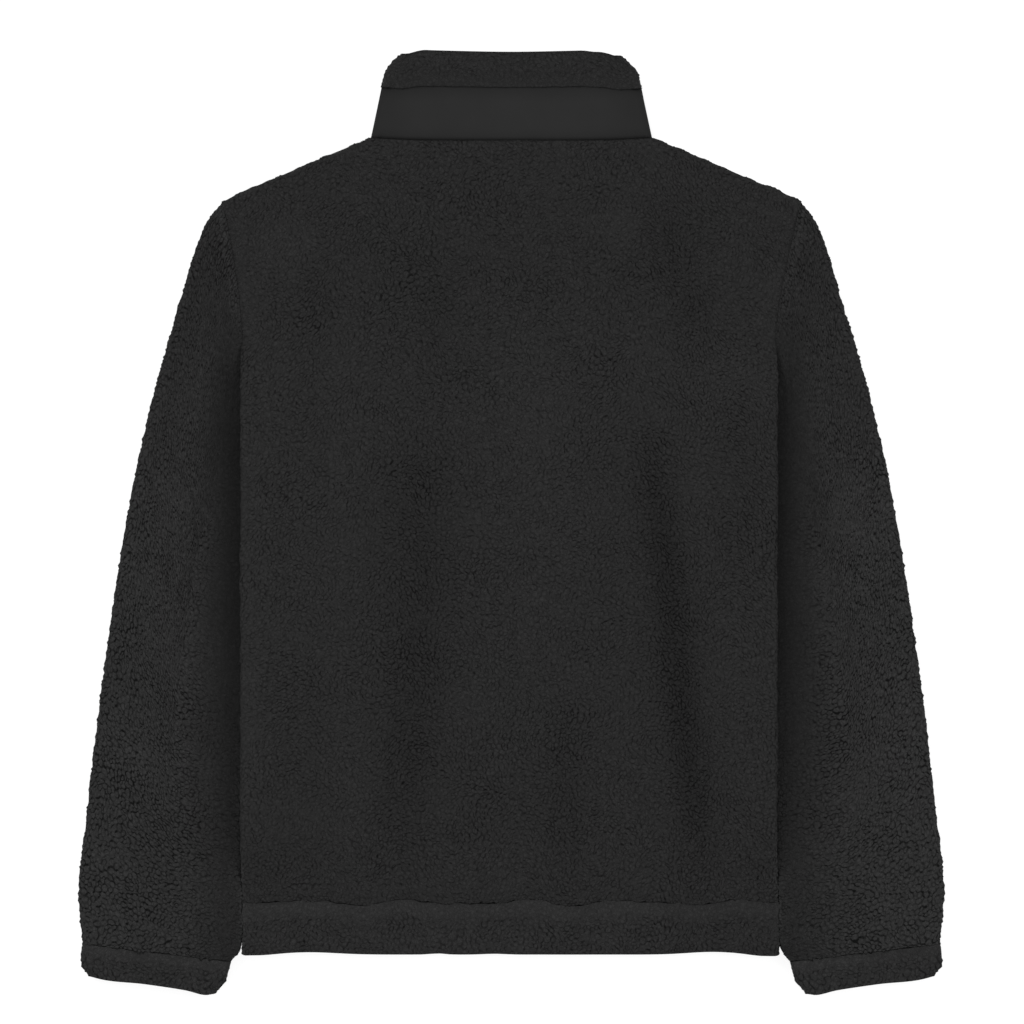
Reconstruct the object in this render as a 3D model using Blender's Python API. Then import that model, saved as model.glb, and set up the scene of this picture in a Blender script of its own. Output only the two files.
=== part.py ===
"""Sherpa jacket with a stand collar, laid flat on its front with its back up.

+X is the right of the back, +Y runs from hem to collar and +Z up from the surface it lies on.
The back and the two fronts lie on each other and meet at the folds along shoulders and sides. The
sleeves are flattened tubes. Their inner sides are tucked under the body, which rides up over them.
The zip closes the fronts underneath, set back in the groove between their edges.
"""
import math
from collections import namedtuple

import bmesh
import bpy
import numpy as np

MM = 0.001

# Colours, linear
PILE_COLOUR = (0.022, 0.022, 0.023)
WEAVE_COLOUR = (0.029, 0.029, 0.03)
TAPE_COLOUR = (0.02, 0.02, 0.02)
METAL_COLOUR = (0.03, 0.03, 0.032)

# Body
CHEST_HALF = 226.4 * MM         # centre line to the side fold
SHOULDER_HALF = 243.2 * MM      # centre line to the shoulder tip
SHOULDER_TIP_Y = 268.0 * MM
ARMHOLE_END_Y = 148.7 * MM      # where the armhole seam runs under the side fold
ARMHOLE_BEND = 1.6              # how the armhole seam curves in from the shoulder tip
NECK_HALF = 118.4 * MM          # centre line to the point where shoulder and collar meet
NECK_CORNER_Y = 322.5 * MM
SHOULDER_RUN = SHOULDER_HALF - NECK_HALF
SHOULDER_FALL = NECK_CORNER_Y - SHOULDER_TIP_Y
SHOULDER_LENGTH = math.hypot(SHOULDER_RUN, SHOULDER_FALL)
SHOULDER_BULGE = 1.2 * MM       # how far the shoulder fold bows out
BACK_NECK_Y = 320.0 * MM        # neck seam at the centre of the back
FRONT_NECK_Y = 286.0 * MM       # neck seam at the zip
FRONT_NECK_BEND = 2.4
HEM_SEAM_Y = -319.2 * MM        # seam between body and hem band
HEM_EDGE_Y = -363.0 * MM        # lower edge of the hem band
HEM_CORNER = 5.0 * MM           # rounding of the hem band's lower corners

# Cloth
WALL = 6.0 * MM                 # backing and pile together
FOLD = 7.75 * MM                # radius of a folded edge, half the thickness of two layers
BAND_WALL = 4.5 * MM            # padded woven collar stand
BAND_FOLD = 6.5 * MM
SEAM_GAP = 0.3 * MM
NECK_SEAM_GAP = 0.65 * MM       # the collar's seams curve, so their chords need more room
SEAM_DIP = 1.7 * MM             # how far the pile sinks at a seam
SEAM_DIP_WIDTH = 9.0 * MM
FOLD_TURN = 13.0 * MM           # length over which the armhole seam turns into the side fold

# Between these heights a strip's lower layer turns into its upper one
LAYER_LOW, LAYER_HIGH = 6.0 * MM, 7.4 * MM

# Body riding up over the tucked-in sleeves
SLEEVE_STACK = 2 * FOLD + SEAM_GAP
RIDE_WIDTH = 26.0 * MM          # width of the slope down from the sleeve to the surface
RIDE_MARGIN = 10.0 * MM         # how far the body stays up past the sleeve before it slopes
SOFT_RIDE_WIDTH = 85.0 * MM     # the same for the back, towards the middle
SOFT_RIDE_FADE = 70.0 * MM      # distance from the side fold over which that slope softens
MOUTH_MARGIN = 19.0 * MM        # how far the body stays up above the sleeve's open end
RIDE_START_Y = -312.0 * MM      # the body rises from here, just above the hem seam
RIDE_FADE = 55.0 * MM

# Sleeve outline (x, y), from the shoulder end to the cuff seam
OUTER_FOLD_MM = (
    (243.5, 268.0),
    (250.5, 260.6),
    (259.1, 245.3),
    (265.9, 228.5),
    (275.9, 194.9),
    (295.3, 127.7),
    (312.1, 60.5),
    (330.5, -40.3),
    (344.8, -141.1),
    (356.6, -241.9),
    (363.3, -321.7),
    (361.4, -341.0),
    (360.4, -353.6),
)
INNER_FOLD_MM = (
    (140.0, 57.4),
    (179.0, -40.0),
    (202.0, -120.0),
    (219.0, -200.0),
    (227.2, -262.0),
    (227.3, -300.0),
    (227.3, -345.0),
    (228.4, -357.8),
    (235.6, -368.4),
)
MOUTH_CORNER_X = 227.2 * MM     # where the sleeve's open end turns in under the body
MOUTH_CORNER_Y = 101.0 * MM
MOUTH_SLOPE = 0.5               # fall of the open end for each unit towards the centre line
START_TURN, END_TURN = 0.12, 0.08  # shares of a tube's length over which its rings turn onto its ends
RELIEF_FADE = 0.12              # share of a tube's width over which its creases fade at the folds

# Cuff outline (x, y)
CUFF_OUTER_MM = ((360.3, -353.9), (361.6, -362.0), (360.2, -374.0), (355.5, -380.6))
CUFF_INNER_MM = ((235.6, -368.8), (238.1, -378.0), (241.2, -385.4), (248.0, -394.6))
CUFF_EDGE_MM = ((355.5, -380.6), (345.0, -383.4), (307.9, -387.6), (273.4, -392.8), (253.3, -396.5),
                (248.0, -394.6))

# Collar
COLLAR_HEIGHT = 75.8 * MM
COLLAR_TOP_HALF = 103.5 * MM
STAND_SHARE = 0.606             # share of the collar's height that is the woven stand
COLLAR_CORNER_SIDE = 10.5 * MM  # how far the rounded top corner cuts into the width
COLLAR_CORNER_START = 0.75      # share of the height where the corner starts
COLLAR_CORNER_DROP = 5.0 * MM   # how far the top edge falls towards its corners
COLLAR_DROP_X, COLLAR_DROP_WIDTH = 72.0 * MM, 22.0 * MM
STAND_DIP, STAND_DIP_SHARE = 1.2 * MM, 0.16    # padding sinks to the stand's two seams
ROLL_DIP, ROLL_DIP_SHARE = 2.4 * MM, 0.35      # the pile roll rounds down to its top edge
ROLL_SEAM_SHARE = 0.3

# Waves of the hem seam
Wave = namedtuple("Wave", "length height crest_x")
HEM_WAVES_MM = (Wave(92.0, 1.9, -176.0), Wave(57.0, 0.9, 21.0))
HEM_WAVE_FADE = 24.0 * MM       # the waves end at this distance from the side folds

# Gathers along the hem seam
PUCKER_LENGTH = 58.0 * MM
PUCKER_HEIGHT = 1.1 * MM
PUCKER_REACH = 26.0 * MM        # how far from the seam they fade
PUCKER_DRIFT, PUCKER_DRIFT_LENGTH = 9.0 * MM, 37.0 * MM  # uneven spacing
PUCKER_SWELL, PUCKER_SWELL_LENGTH = 0.35, 61.0 * MM      # uneven height

# Soft folds as lines on the cloth; negative heights are troughs
Crease = namedtuple("Crease", "x0 y0 x1 y1 half_width height")
BACK_CREASES_MM = (
    Crease(-80.0, 190.0, -66.0, -318.0, 24.0, -2.3),
    Crease(112.0, 210.0, 142.0, -318.0, 28.0, -2.6),
    Crease(-14.0, 90.0, -4.0, -270.0, 18.0, -1.1),
    Crease(-166.0, 60.0, -150.0, -300.0, 20.0, -1.0),
    Crease(-120.0, 20.0, -112.0, -310.0, 20.0, 0.9),
    Crease(60.0, 120.0, 72.0, -310.0, 24.0, 1.0),
    Crease(190.0, 300.0, 60.0, 205.0, 24.0, 0.9),
    Crease(-205.0, 290.0, -110.0, 215.0, 22.0, 0.9),
)
SLEEVE_CREASES_MM = (
    Crease(262.0, 205.0, 300.0, -10.0, 13.0, -1.7),
    Crease(325.0, 20.0, 240.0, -70.0, 14.0, -1.6),
    Crease(338.0, -95.0, 262.0, -140.0, 12.0, -1.9),
    Crease(345.0, -175.0, 270.0, -205.0, 13.0, -1.3),
    Crease(300.0, -190.0, 312.0, -345.0, 12.0, -1.5),
    Crease(272.0, -230.0, 282.0, -360.0, 10.0, -1.2),
)
CREASE_END = 0.3                # share of its length over which a crease fades at each end
DEEPEST_FOLD = -2.7 * MM        # a trough stops before the back touches the fronts
SEAM_RIDGE = 1.0 * MM           # pile standing up on the sleeve's side of the armhole seam
SEAM_RIDGE_WIDTH = 9.0 * MM
SEAM_RIDGE_END = 8.0 * MM       # above the corner of the sleeve's open end
SEAM_RIDGE_FADE = 20.0 * MM

# Zip
FRONT_EDGE = 5.6 * MM           # centre line to the edge of each front
TAPE_INNER, TAPE_OUTER = 2.9 * MM, 14.0 * MM
TAPE_LOW, TAPE_HIGH = 6.3 * MM, 7.3 * MM
CHAIN_HALF = 2.6 * MM
CHAIN_LOW, CHAIN_HIGH = 5.2 * MM, 8.1 * MM
ZIP_TOP_Y = 358.0 * MM
ZIP_LOW_Y = HEM_EDGE_Y + 1.0 * MM
SLIDER_TOP_Y = 350.0 * MM
SLIDER_LENGTH = 12.0 * MM
SLIDER_HALF = 4.7 * MM
SLIDER_LOW, SLIDER_HIGH = 3.0 * MM, 5.9 * MM
SLIDER_BEVEL = 1.5 * MM
CORE_HALF = 2.5 * MM            # slider's core between its two plates
BRIDGE_HALF, BRIDGE_REACH = 1.2 * MM, 3.2 * MM
BRIDGE_LOW, BRIDGE_THICK = 0.4 * MM, 0.8 * MM
PULL_AXIS_Z = 2.05 * MM         # between the bridge and the slider's plate
PULL_THICK = 1.0 * MM
PULL_HALF = 3.0 * MM
PULL_BEVEL = 1.2 * MM
PULL_LENGTH = 26.0 * MM
PULL_WINDOW_HALF, PULL_WINDOW_LENGTH = 1.7 * MM, 6.0 * MM

# Columns of the body and the collar, as distances from the centre line at their upper edge
NECK_COLUMNS_MM = (0.0, 16.0, 32.0, 48.0, 64.0, 80.0, 96.0, 110.65)
SHOULDER_COLUMNS_MM = (118.4, 130.0, 144.0, 158.0, 172.0, 186.0, 201.0, 216.0, 227.0)

FOLD_ANGLES = tuple(math.radians(angle) for angle in (28.0, 60.0, 90.0))


def smooth(share):
    share = np.clip(share, 0.0, 1.0)
    return share * share * (3.0 - 2.0 * share)


def mix(first, last, share):
    return first + (last - first) * share


def unit(vectors):
    return vectors / np.linalg.norm(vectors, axis=-1, keepdims=True)


def spline(points_mm):
    """Smooth curve through the points, as a function of the share of its length."""
    points = np.array(points_mm) * MM
    knots = np.concatenate(([0.0], np.cumsum(np.linalg.norm(np.diff(points, axis=0), axis=1))))
    slopes = np.gradient(points, knots, axis=0)

    def at(shares):
        places = np.clip(shares, 0.0, 1.0) * knots[-1]
        index = np.clip(np.searchsorted(knots, places, side="right") - 1, 0, len(knots) - 2)
        span = (knots[index + 1] - knots[index])[..., None]
        t = (places - knots[index])[..., None] / span
        return ((2 * t**3 - 3 * t**2 + 1) * points[index] + (t**3 - 2 * t**2 + t) * span * slopes[index]
                + (3 * t**2 - 2 * t**3) * points[index + 1] + (t**3 - t**2) * span * slopes[index + 1])

    return at


def path(points):
    """Line with corners through the points, as a function of the share of its length."""
    points = np.asarray(points)
    knots = np.concatenate(([0.0], np.cumsum(np.linalg.norm(np.diff(points, axis=0), axis=1))))

    def at(shares):
        places = np.asarray(shares) * knots[-1]
        return np.stack([np.interp(places, knots, points[:, axis]) for axis in (0, 1)], axis=-1)

    return at, knots[-1]


def side_x(y):
    """Side edge of the body: the armhole seam above, the side fold below."""
    up = np.clip((y - ARMHOLE_END_Y) / (SHOULDER_TIP_Y - ARMHOLE_END_Y), 0.0, 1.0)
    return CHEST_HALF + (SHOULDER_HALF - CHEST_HALF) * up**ARMHOLE_BEND


def shoulder_y(x):
    out = (np.abs(x) - NECK_HALF) / SHOULDER_RUN
    bulge = SHOULDER_BULGE * np.sin(math.pi * np.clip(out, 0.0, 1.0))
    return mix(NECK_CORNER_Y, SHOULDER_TIP_Y, out) + bulge


def back_top_y(x):
    """Upper edge of the back: neck seam in the middle, shoulder folds beside it."""
    neck = mix(BACK_NECK_Y, NECK_CORNER_Y, (np.abs(x) / NECK_HALF) ** 4)
    return np.where(np.abs(x) < NECK_HALF, neck, shoulder_y(x))


def front_top_y(x):
    """Upper edge of a front: scooped neck seam, then the shoulder fold."""
    neck = mix(FRONT_NECK_Y, NECK_CORNER_Y, (np.abs(x) / NECK_HALF) ** FRONT_NECK_BEND)
    return np.where(np.abs(x) < NECK_HALF, neck, shoulder_y(x))


def hem_seam_y(x):
    turns = [(x / MM - wave.crest_x) / wave.length for wave in HEM_WAVES_MM]
    total = sum(wave.height * np.cos(2 * math.pi * turn) for wave, turn in zip(HEM_WAVES_MM, turns))
    return HEM_SEAM_Y + total * MM * smooth((CHEST_HALF - np.abs(x)) / HEM_WAVE_FADE)


def inner_fold_x(y):
    """Distance of the sleeve's inner fold from the centre line."""
    curve = spline(INNER_FOLD_MM)(np.linspace(1.0, 0.0, 120))
    return np.interp(y, curve[:, 1], curve[:, 0])


def mouth_y(x):
    return MOUTH_CORNER_Y - MOUTH_SLOPE * (MOUTH_CORNER_X - np.abs(x))


def ride(x, y, softness):
    """How far the body is raised where it lies over a tucked-in sleeve; the back slopes more softly."""
    inside = smooth((CHEST_HALF - np.abs(x)) / SOFT_RIDE_FADE)
    beside = (inner_fold_x(y) - np.abs(x) - RIDE_MARGIN) / mix(RIDE_WIDTH, SOFT_RIDE_WIDTH, softness)
    above = (y - mouth_y(x)) * math.cos(math.atan(MOUTH_SLOPE)) - MOUTH_MARGIN
    above = above / mix(RIDE_WIDTH, SOFT_RIDE_WIDTH, softness * inside)
    up_from_hem = (y - RIDE_START_Y) / RIDE_FADE
    return SLEEVE_STACK * (1.0 - smooth(beside)) * (1.0 - smooth(above)) * smooth(up_from_hem)


def creases(x, y, rows_mm):
    """Height of the soft folds that the rows list."""
    total = np.zeros_like(x)
    for row in rows_mm:
        x0, y0, x1, y1, half_width, height = np.array(row) * MM
        length = math.hypot(x1 - x0, y1 - y0)
        along_x, along_y = (x1 - x0) / length, (y1 - y0) / length
        along = ((x - x0) * along_x + (y - y0) * along_y) / length
        across = (x - x0) * along_y - (y - y0) * along_x
        ends = smooth(along / CREASE_END) * smooth((1 - along) / CREASE_END)
        total += height * np.exp(-((across / half_width) ** 2)) * ends
    return total


def puckers(x, distance):
    """Gathers beside the hem seam, fading with the distance from it."""
    uneven = x + PUCKER_DRIFT * np.sin(x / PUCKER_DRIFT_LENGTH)
    height = PUCKER_HEIGHT * (1.0 - PUCKER_SWELL * (1.0 - np.sin(x / PUCKER_SWELL_LENGTH + 1.0)))
    return height * np.cos(2 * math.pi * uneven / PUCKER_LENGTH) * np.exp(-np.abs(distance) / PUCKER_REACH)


def dip(distance):
    """How far the pile sinks beside a seam."""
    return SEAM_DIP * (1.0 - smooth(distance / SEAM_DIP_WIDTH))


def body_plan(shares, rows, start_x, top_y, wave):
    """Grid over a body panel: shares run from start_x to the side, rows from the top to the hem seam."""
    share, row = np.meshgrid(shares, rows)
    sign = np.where(share < 0, -1.0, 1.0)
    from_x = start_x if start_x else 0.0
    share = np.abs(share)
    width = side_x(mix(SHOULDER_TIP_Y, HEM_SEAM_Y, row))
    x = sign * mix(from_x, width, share)
    top = top_y(mix(from_x, SHOULDER_HALF, share))
    bottom = mix(HEM_SEAM_Y, hem_seam_y(sign * mix(from_x, CHEST_HALF, share)), wave)
    return x, mix(top, bottom, row)


def near_folds(x, y):
    """1 on a folded edge, 0 at its radius and beyond, for the side fold and for the shoulder fold."""
    folded = smooth((ARMHOLE_END_Y - y) / FOLD_TURN)
    side = folded * (1.0 - np.clip((CHEST_HALF - np.abs(x)) / FOLD, 0.0, 1.0))
    out, down = np.abs(x) - NECK_HALF, NECK_CORNER_Y - y
    along = np.clip((out * SHOULDER_RUN + down * SHOULDER_FALL) / SHOULDER_LENGTH**2, 0.0, 1.0)
    gap = np.hypot(out - along * SHOULDER_RUN, np.maximum(down - along * SHOULDER_FALL, 0.0))
    return side, 1.0 - np.clip(gap / FOLD, 0.0, 1.0)


def body_skins(x, y, up, folds, seams):
    """Outer and inner points of a body panel; up is 1 for the back and -1 for a front.

    folds moves the whole cloth and seams only its outside.
    """
    side, shoulder = near_folds(x, y)
    height = np.sqrt(1.0 - np.maximum(side, shoulder) ** 2)
    middle = FOLD + ride(x, y, (1.0 + up) / 2) + up * SEAM_GAP / 2
    outer_z = middle + up * (FOLD - SEAM_GAP / 2) * height + (folds + seams) * height
    inner_z = middle + up * (FOLD - WALL - SEAM_GAP / 2) * height + np.maximum(folds, DEEPEST_FOLD) * height
    inner_x = x - np.sign(x) * WALL * (side + shoulder * SHOULDER_FALL / SHOULDER_LENGTH)
    inner_y = y - WALL * shoulder * SHOULDER_RUN / SHOULDER_LENGTH
    return np.stack((x, y, outer_z), axis=-1), np.stack((inner_x, inner_y, inner_z), axis=-1)


def edge_directions(curve, shares, start, end):
    """Unit directions from a fold into the tube, turned onto its first and last lines at the ends."""
    step = 0.004  # of the length, to each side of a share
    tangent = curve(np.minimum(shares + step, 1.0)) - curve(np.maximum(shares - step, 0.0))
    normal = unit(np.stack((-tangent[:, 1], tangent[:, 0]), axis=-1))
    middle = (start + end)[None, :]
    normal *= np.sign(np.sum(normal * middle, axis=1, keepdims=True))
    at_start = (1.0 - smooth(shares / START_TURN))[:, None]
    at_end = (1.0 - smooth((1.0 - shares) / END_TURN))[:, None]
    return unit(normal * (1.0 - at_start) * (1.0 - at_end) + start * at_start + end * at_end)


def tube_skins(outer_fold, inner_fold, first_line, last_line, along, across, relief):
    """Outer and inner skins of a flattened tube, as rings between its first and its last line.

    along holds the shares of its length and across the shares between its two folds.
    """
    (first, first_length), (last, last_length) = first_line, last_line
    outer_edge, inner_edge = outer_fold(along), inner_fold(along)
    first_in, last_in = FOLD / first_length, FOLD / last_length
    into_outer = edge_directions(outer_fold, along, unit(first(first_in) - first(0.0)),
                                 unit(last(last_in) - last(0.0)))
    into_inner = edge_directions(inner_fold, along, unit(first(1 - first_in) - first(1.0)),
                                 unit(last(1 - last_in) - last(1.0)))

    share = np.concatenate(([0.0], across, [1.0]))[None, :, None]
    t = along[:, None, None]
    ends = [line(mix(inset, 1.0 - inset, share[0, :, 0]))
            for line, inset in ((first, first_in), (last, last_in))]
    outer_side = (outer_edge + into_outer * FOLD)[:, None, :]
    inner_side = (inner_edge + into_inner * FOLD)[:, None, :]
    straight = [mix(end[0], end[-1], share) for end in ends]
    plan = (mix(ends[0][None], ends[1][None], t) + mix(outer_side, inner_side, share)
            - mix(straight[0], straight[1], t))
    x, y = plan[..., 0], plan[..., 1]
    fade = smooth(np.minimum(share, 1.0 - share)[..., 0] / RELIEF_FADE)
    raised = relief(x, y) * fade

    skins = []
    for radius in (FOLD, FOLD - WALL):
        def fold_columns(edge, into, angles, radius=radius):
            for angle in angles:
                place = edge + into * (FOLD - radius * math.cos(angle))
                yield np.column_stack((place, np.full(len(place), FOLD + radius * math.sin(angle))))

        below = tuple(-angle for angle in FOLD_ANGLES)
        upper = np.stack((x, y, FOLD + radius + raised), axis=-1)[:, 1:-1]
        lower = np.stack((x, y, np.full_like(x, FOLD - radius)), axis=-1)[:, -2:0:-1]
        columns = [*fold_columns(outer_edge, into_outer, (0.0, *FOLD_ANGLES)),
                   *upper.transpose(1, 0, 2),
                   *fold_columns(inner_edge, into_inner, (*FOLD_ANGLES[::-1], 0.0, *below)),
                   *lower.transpose(1, 0, 2),
                   *fold_columns(outer_edge, into_outer, below[::-1])]
        skins.append(np.stack(columns, axis=1))
    return skins


def band_skins(half_width, low_edge, high_edge, rows, across, fold, wall, relief):
    """Outer and inner skins of a strip lying round the body, open at the centre of its lower layer.

    half_width gives the strip's half width for a row, and the edges its two borders for x and a
    layer, 0 for the lower one and 1 for the upper one. across holds shares of the half width under 1.
    """
    turn = np.concatenate([-np.array(FOLD_ANGLES)[::-1], [0.0], FOLD_ANGLES])
    quarter = len(across)
    angle = np.concatenate((np.full(quarter, -math.pi / 2), turn, np.full(2 * quarter - 1, math.pi / 2),
                            turn[::-1], np.full(quarter, -math.pi / 2)))
    straight = np.concatenate((across, np.ones(len(turn)), across[::-1], -across[1:], -np.ones(len(turn)),
                               -across[::-1]))
    right = 2 * quarter + len(turn)
    sign = np.concatenate((np.ones(right), -np.ones(len(straight) - right)))
    row = rows[:, None]
    width = half_width(row)
    split = np.where(np.abs(straight) < 1.0, np.abs(straight) * (width - FOLD), width - fold)
    skins = []
    for radius in (fold, fold - wall):
        reach = split + radius * np.cos(angle)
        x = sign * np.where(angle == -math.pi / 2, np.maximum(reach, FRONT_EDGE), reach)
        z = fold + radius * np.sin(angle)
        layer = smooth((z - LAYER_LOW) / (LAYER_HIGH - LAYER_LOW))
        y = mix(low_edge(x, layer), high_edge(x, layer), row)
        z = z + relief(x, y, row) * ((angle == math.pi / 2) & (radius == fold))
        skins.append(np.stack((x, y, z), axis=-1))
    return skins


def finish(name, colour, roughness, metallic=0.0):
    material = bpy.data.materials.new(name + "_material")
    material.use_nodes = True
    shader = material.node_tree.nodes["Principled BSDF"]
    shader.inputs["Base Color"].default_value = (*colour, 1.0)
    shader.inputs["Roughness"].default_value = roughness
    shader.inputs["Metallic"].default_value = metallic
    return material


def pile(name):
    return finish(name, PILE_COLOUR, 0.95)


def add_object(name, mesh_data, material):
    mesh = bpy.data.meshes.new(name)
    bmesh.ops.recalc_face_normals(mesh_data, faces=mesh_data.faces)
    mesh_data.to_mesh(mesh)
    mesh_data.free()
    mesh.materials.append(material)
    piece = bpy.data.objects.new(name, mesh)
    bpy.context.scene.collection.objects.link(piece)
    return piece


def add_wall(name, skins, material, ring=False):
    """Closed wall between an outer and an inner grid; a ring's last column joins its first one."""
    outer, inner = skins
    rows, columns = outer.shape[:2]
    data = bmesh.new()
    grids = [[[data.verts.new(point) for point in row] for row in skin] for skin in (outer, inner)]
    spans = [(column, (column + 1) % columns) for column in range(columns if ring else columns - 1)]
    for grid in grids:
        for above, below in zip(grid, grid[1:]):
            for this, following in spans:
                data.faces.new((above[this], above[following], below[following]))
                data.faces.new((above[this], below[following], below[this]))
    over, under = grids
    for row in (0, rows - 1):
        for this, following in spans:
            data.faces.new((over[row][this], over[row][following], under[row][following], under[row][this]))
    for column in () if ring else (0, columns - 1):
        for row in range(rows - 1):
            following = row + 1
            data.faces.new((over[row][column], over[following][column], under[following][column],
                            under[row][column]))
    piece = add_object(name, data, material)
    piece.data.shade_smooth()
    return piece


def add_block(name, low, high, material=None, bevel=0.0):
    data = bmesh.new()
    bmesh.ops.create_cube(data, size=1.0)
    for vertex in data.verts:
        vertex.co = [mix(low[axis], high[axis], vertex.co[axis] + 0.5) for axis in range(3)]
    if bevel:
        upright = [edge for edge in data.edges if abs(edge.verts[0].co.z - edge.verts[1].co.z) > 1e-6]
        bmesh.ops.bevel(data, geom=upright, offset=bevel, segments=3, affect="EDGES", profile=0.5)
    return add_object(name, data, material)


def combine(piece, other, operation):
    """Boolean with a hidden guide object."""
    other.hide_render = True
    other.display_type = "WIRE"
    other.parent = piece
    modifier = piece.modifiers.new(other.name, "BOOLEAN")
    modifier.operation = operation
    modifier.object = other


def edge_shares(offsets_mm, length):
    return np.array(offsets_mm) * MM / length


def build_body():
    """Back panel and the two fronts."""
    fold_steps = (0.0, 0.9, 3.9, 7.75)
    half = np.concatenate((edge_shares(NECK_COLUMNS_MM + SHOULDER_COLUMNS_MM, SHOULDER_HALF),
                           1.0 - edge_shares(fold_steps[::-1], SHOULDER_HALF)))
    columns = np.concatenate((-half[:0:-1], half))
    length = SHOULDER_TIP_Y - HEM_SEAM_Y
    rows_mm = (0.0, 0.9, 3.9, 7.75, 24.0, 52.0, 84.0, 110.0, 119.3, 127.0, 134.0, 148.0, 164.0, 180.0, 197.0,
               214.0, 236.0, 270.0, 312.0, 355.0, 400.0, 445.0, 490.0, 527.0, 556.0, 578.0, 587.2)
    rows = edge_shares(rows_mm, length)

    x, y = body_plan(columns, rows, None, back_top_y, 1.0)
    folds = creases(x, y, BACK_CREASES_MM)
    seams = puckers(x, y - hem_seam_y(x)) - dip(y - hem_seam_y(x))
    seams -= np.where(np.abs(x) < NECK_HALF, dip(back_top_y(x) - y), 0.0)
    seams -= np.where(y > ARMHOLE_END_Y - FOLD_TURN, dip(side_x(y) - np.abs(x)), 0.0)
    add_wall("back_panel", body_skins(x, y, 1.0, folds, seams), pile("back_panel"))

    front_half = (FRONT_EDGE / MM, *NECK_COLUMNS_MM[2::2], NECK_COLUMNS_MM[-1], *SHOULDER_COLUMNS_MM)
    out = (np.array(front_half) * MM - FRONT_EDGE) / (SHOULDER_HALF - FRONT_EDGE)
    out = np.concatenate((out, 1.0 - edge_shares(fold_steps[::-1], SHOULDER_HALF - FRONT_EDGE)))
    # Both fronts start at their side fold; the right one's rows run upwards, so that the triangles
    # of both slant as those of the back do
    for name, sign, order in (("front_left", -1.0, 1), ("front_right", 1.0, -1)):
        x, y = body_plan(sign * np.maximum(out[::-1], 1e-9), rows[::order], FRONT_EDGE, front_top_y, 0.0)
        flat = np.zeros_like(x)
        add_wall(name, body_skins(x, y, -1.0, flat, flat), pile(name))


def mirrored(skins, sign):
    return [skin * np.array((sign, 1.0, 1.0)) for skin in skins]


def sleeve_relief(x, y):
    ridge = SEAM_RIDGE * np.exp(-(((x - side_x(y)) / SEAM_RIDGE_WIDTH) ** 2))
    visible = smooth((y - MOUTH_CORNER_Y - SEAM_RIDGE_END) / SEAM_RIDGE_FADE)
    return creases(x, y, SLEEVE_CREASES_MM) + ridge * visible


def build_sleeves():
    """Sleeves and cuffs, worked out for the right side and mirrored."""
    armhole_y = np.linspace(SHOULDER_TIP_Y, ARMHOLE_END_Y, 12)
    armhole = np.column_stack((side_x(armhole_y) + SEAM_GAP, armhole_y))
    corner = np.array((MOUTH_CORNER_X, MOUTH_CORNER_Y))
    inner_start = np.array(INNER_FOLD_MM[0]) * MM
    opening = path(np.vstack((armhole, corner, inner_start)))
    corner_share = np.linalg.norm(np.diff(np.vstack((armhole, corner)), axis=0), axis=1).sum()
    corner_share = (corner_share - FOLD) / (opening[1] - 2 * FOLD)
    cuff_seam = path(np.array((OUTER_FOLD_MM[-1], INNER_FOLD_MM[-1])) * MM)
    sleeve_across = np.concatenate((np.linspace(0.0, corner_share, 6)[1:],
                                    np.linspace(corner_share, 1.0, 5)[1:-1]))
    sleeve_along = np.array((0.0, 0.012, 0.04, 0.10, 0.18, 0.26, 0.34, 0.42, 0.50, 0.58, 0.66, 0.74, 0.82,
                             0.89, 0.95, 0.985, 1.0))
    sleeve = tube_skins(spline(OUTER_FOLD_MM), spline(INNER_FOLD_MM), opening, cuff_seam, sleeve_along,
                        sleeve_across, sleeve_relief)

    cuff_top = path(np.array((CUFF_OUTER_MM[0], CUFF_INNER_MM[0])) * MM)
    cuff_edge_curve = spline(CUFF_EDGE_MM)
    cuff_edge = path(cuff_edge_curve(np.linspace(0.0, 1.0, 40)))
    cuff = tube_skins(spline(CUFF_OUTER_MM), spline(CUFF_INNER_MM), cuff_top, cuff_edge,
                      np.array((0.0, 0.3, 0.75, 1.0)), np.linspace(0.0, 1.0, 8)[1:-1],
                      lambda x, y: np.zeros_like(x))
    for side, sign in (("left", -1.0), ("right", 1.0)):
        add_wall("sleeve_" + side, mirrored(sleeve, sign), pile("sleeve_" + side), ring=True)
        add_wall("cuff_" + side, mirrored(cuff, sign), pile("cuff_" + side), ring=True)


def build_hem():
    def low_edge(x, layer):
        corner = HEM_CORNER - np.clip(CHEST_HALF - np.abs(x), 0.0, HEM_CORNER)
        rounding = HEM_CORNER - np.sqrt(np.maximum(HEM_CORNER**2 - corner**2, 0.0))
        return HEM_EDGE_Y + rounding

    def relief(x, y, row):
        below = hem_seam_y(x) - y
        return puckers(x, below) - dip(below) - dip(y - HEM_EDGE_Y)

    columns = np.array(NECK_COLUMNS_MM + SHOULDER_COLUMNS_MM) * MM * CHEST_HALF / SHOULDER_HALF
    across = columns / (CHEST_HALF - FOLD)
    skins = band_skins(lambda row: np.full_like(row, CHEST_HALF), low_edge,
                       lambda x, layer: mix(HEM_SEAM_Y, hem_seam_y(x), layer) - SEAM_GAP,
                       np.array((0.0, 0.12, 0.5, 0.86, 1.0)), across, FOLD, WALL, relief)
    add_wall("hem_band", skins, pile("hem_band"))


def collar_half_width(share):
    """Half width of the collar at a share of its height, with its top corners rounded."""
    up = np.clip((share - COLLAR_CORNER_START) / (1.0 - COLLAR_CORNER_START), 0.0, 1.0)
    corner = COLLAR_CORNER_SIDE * up**2
    return mix(NECK_HALF, COLLAR_TOP_HALF, share) - corner


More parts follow.
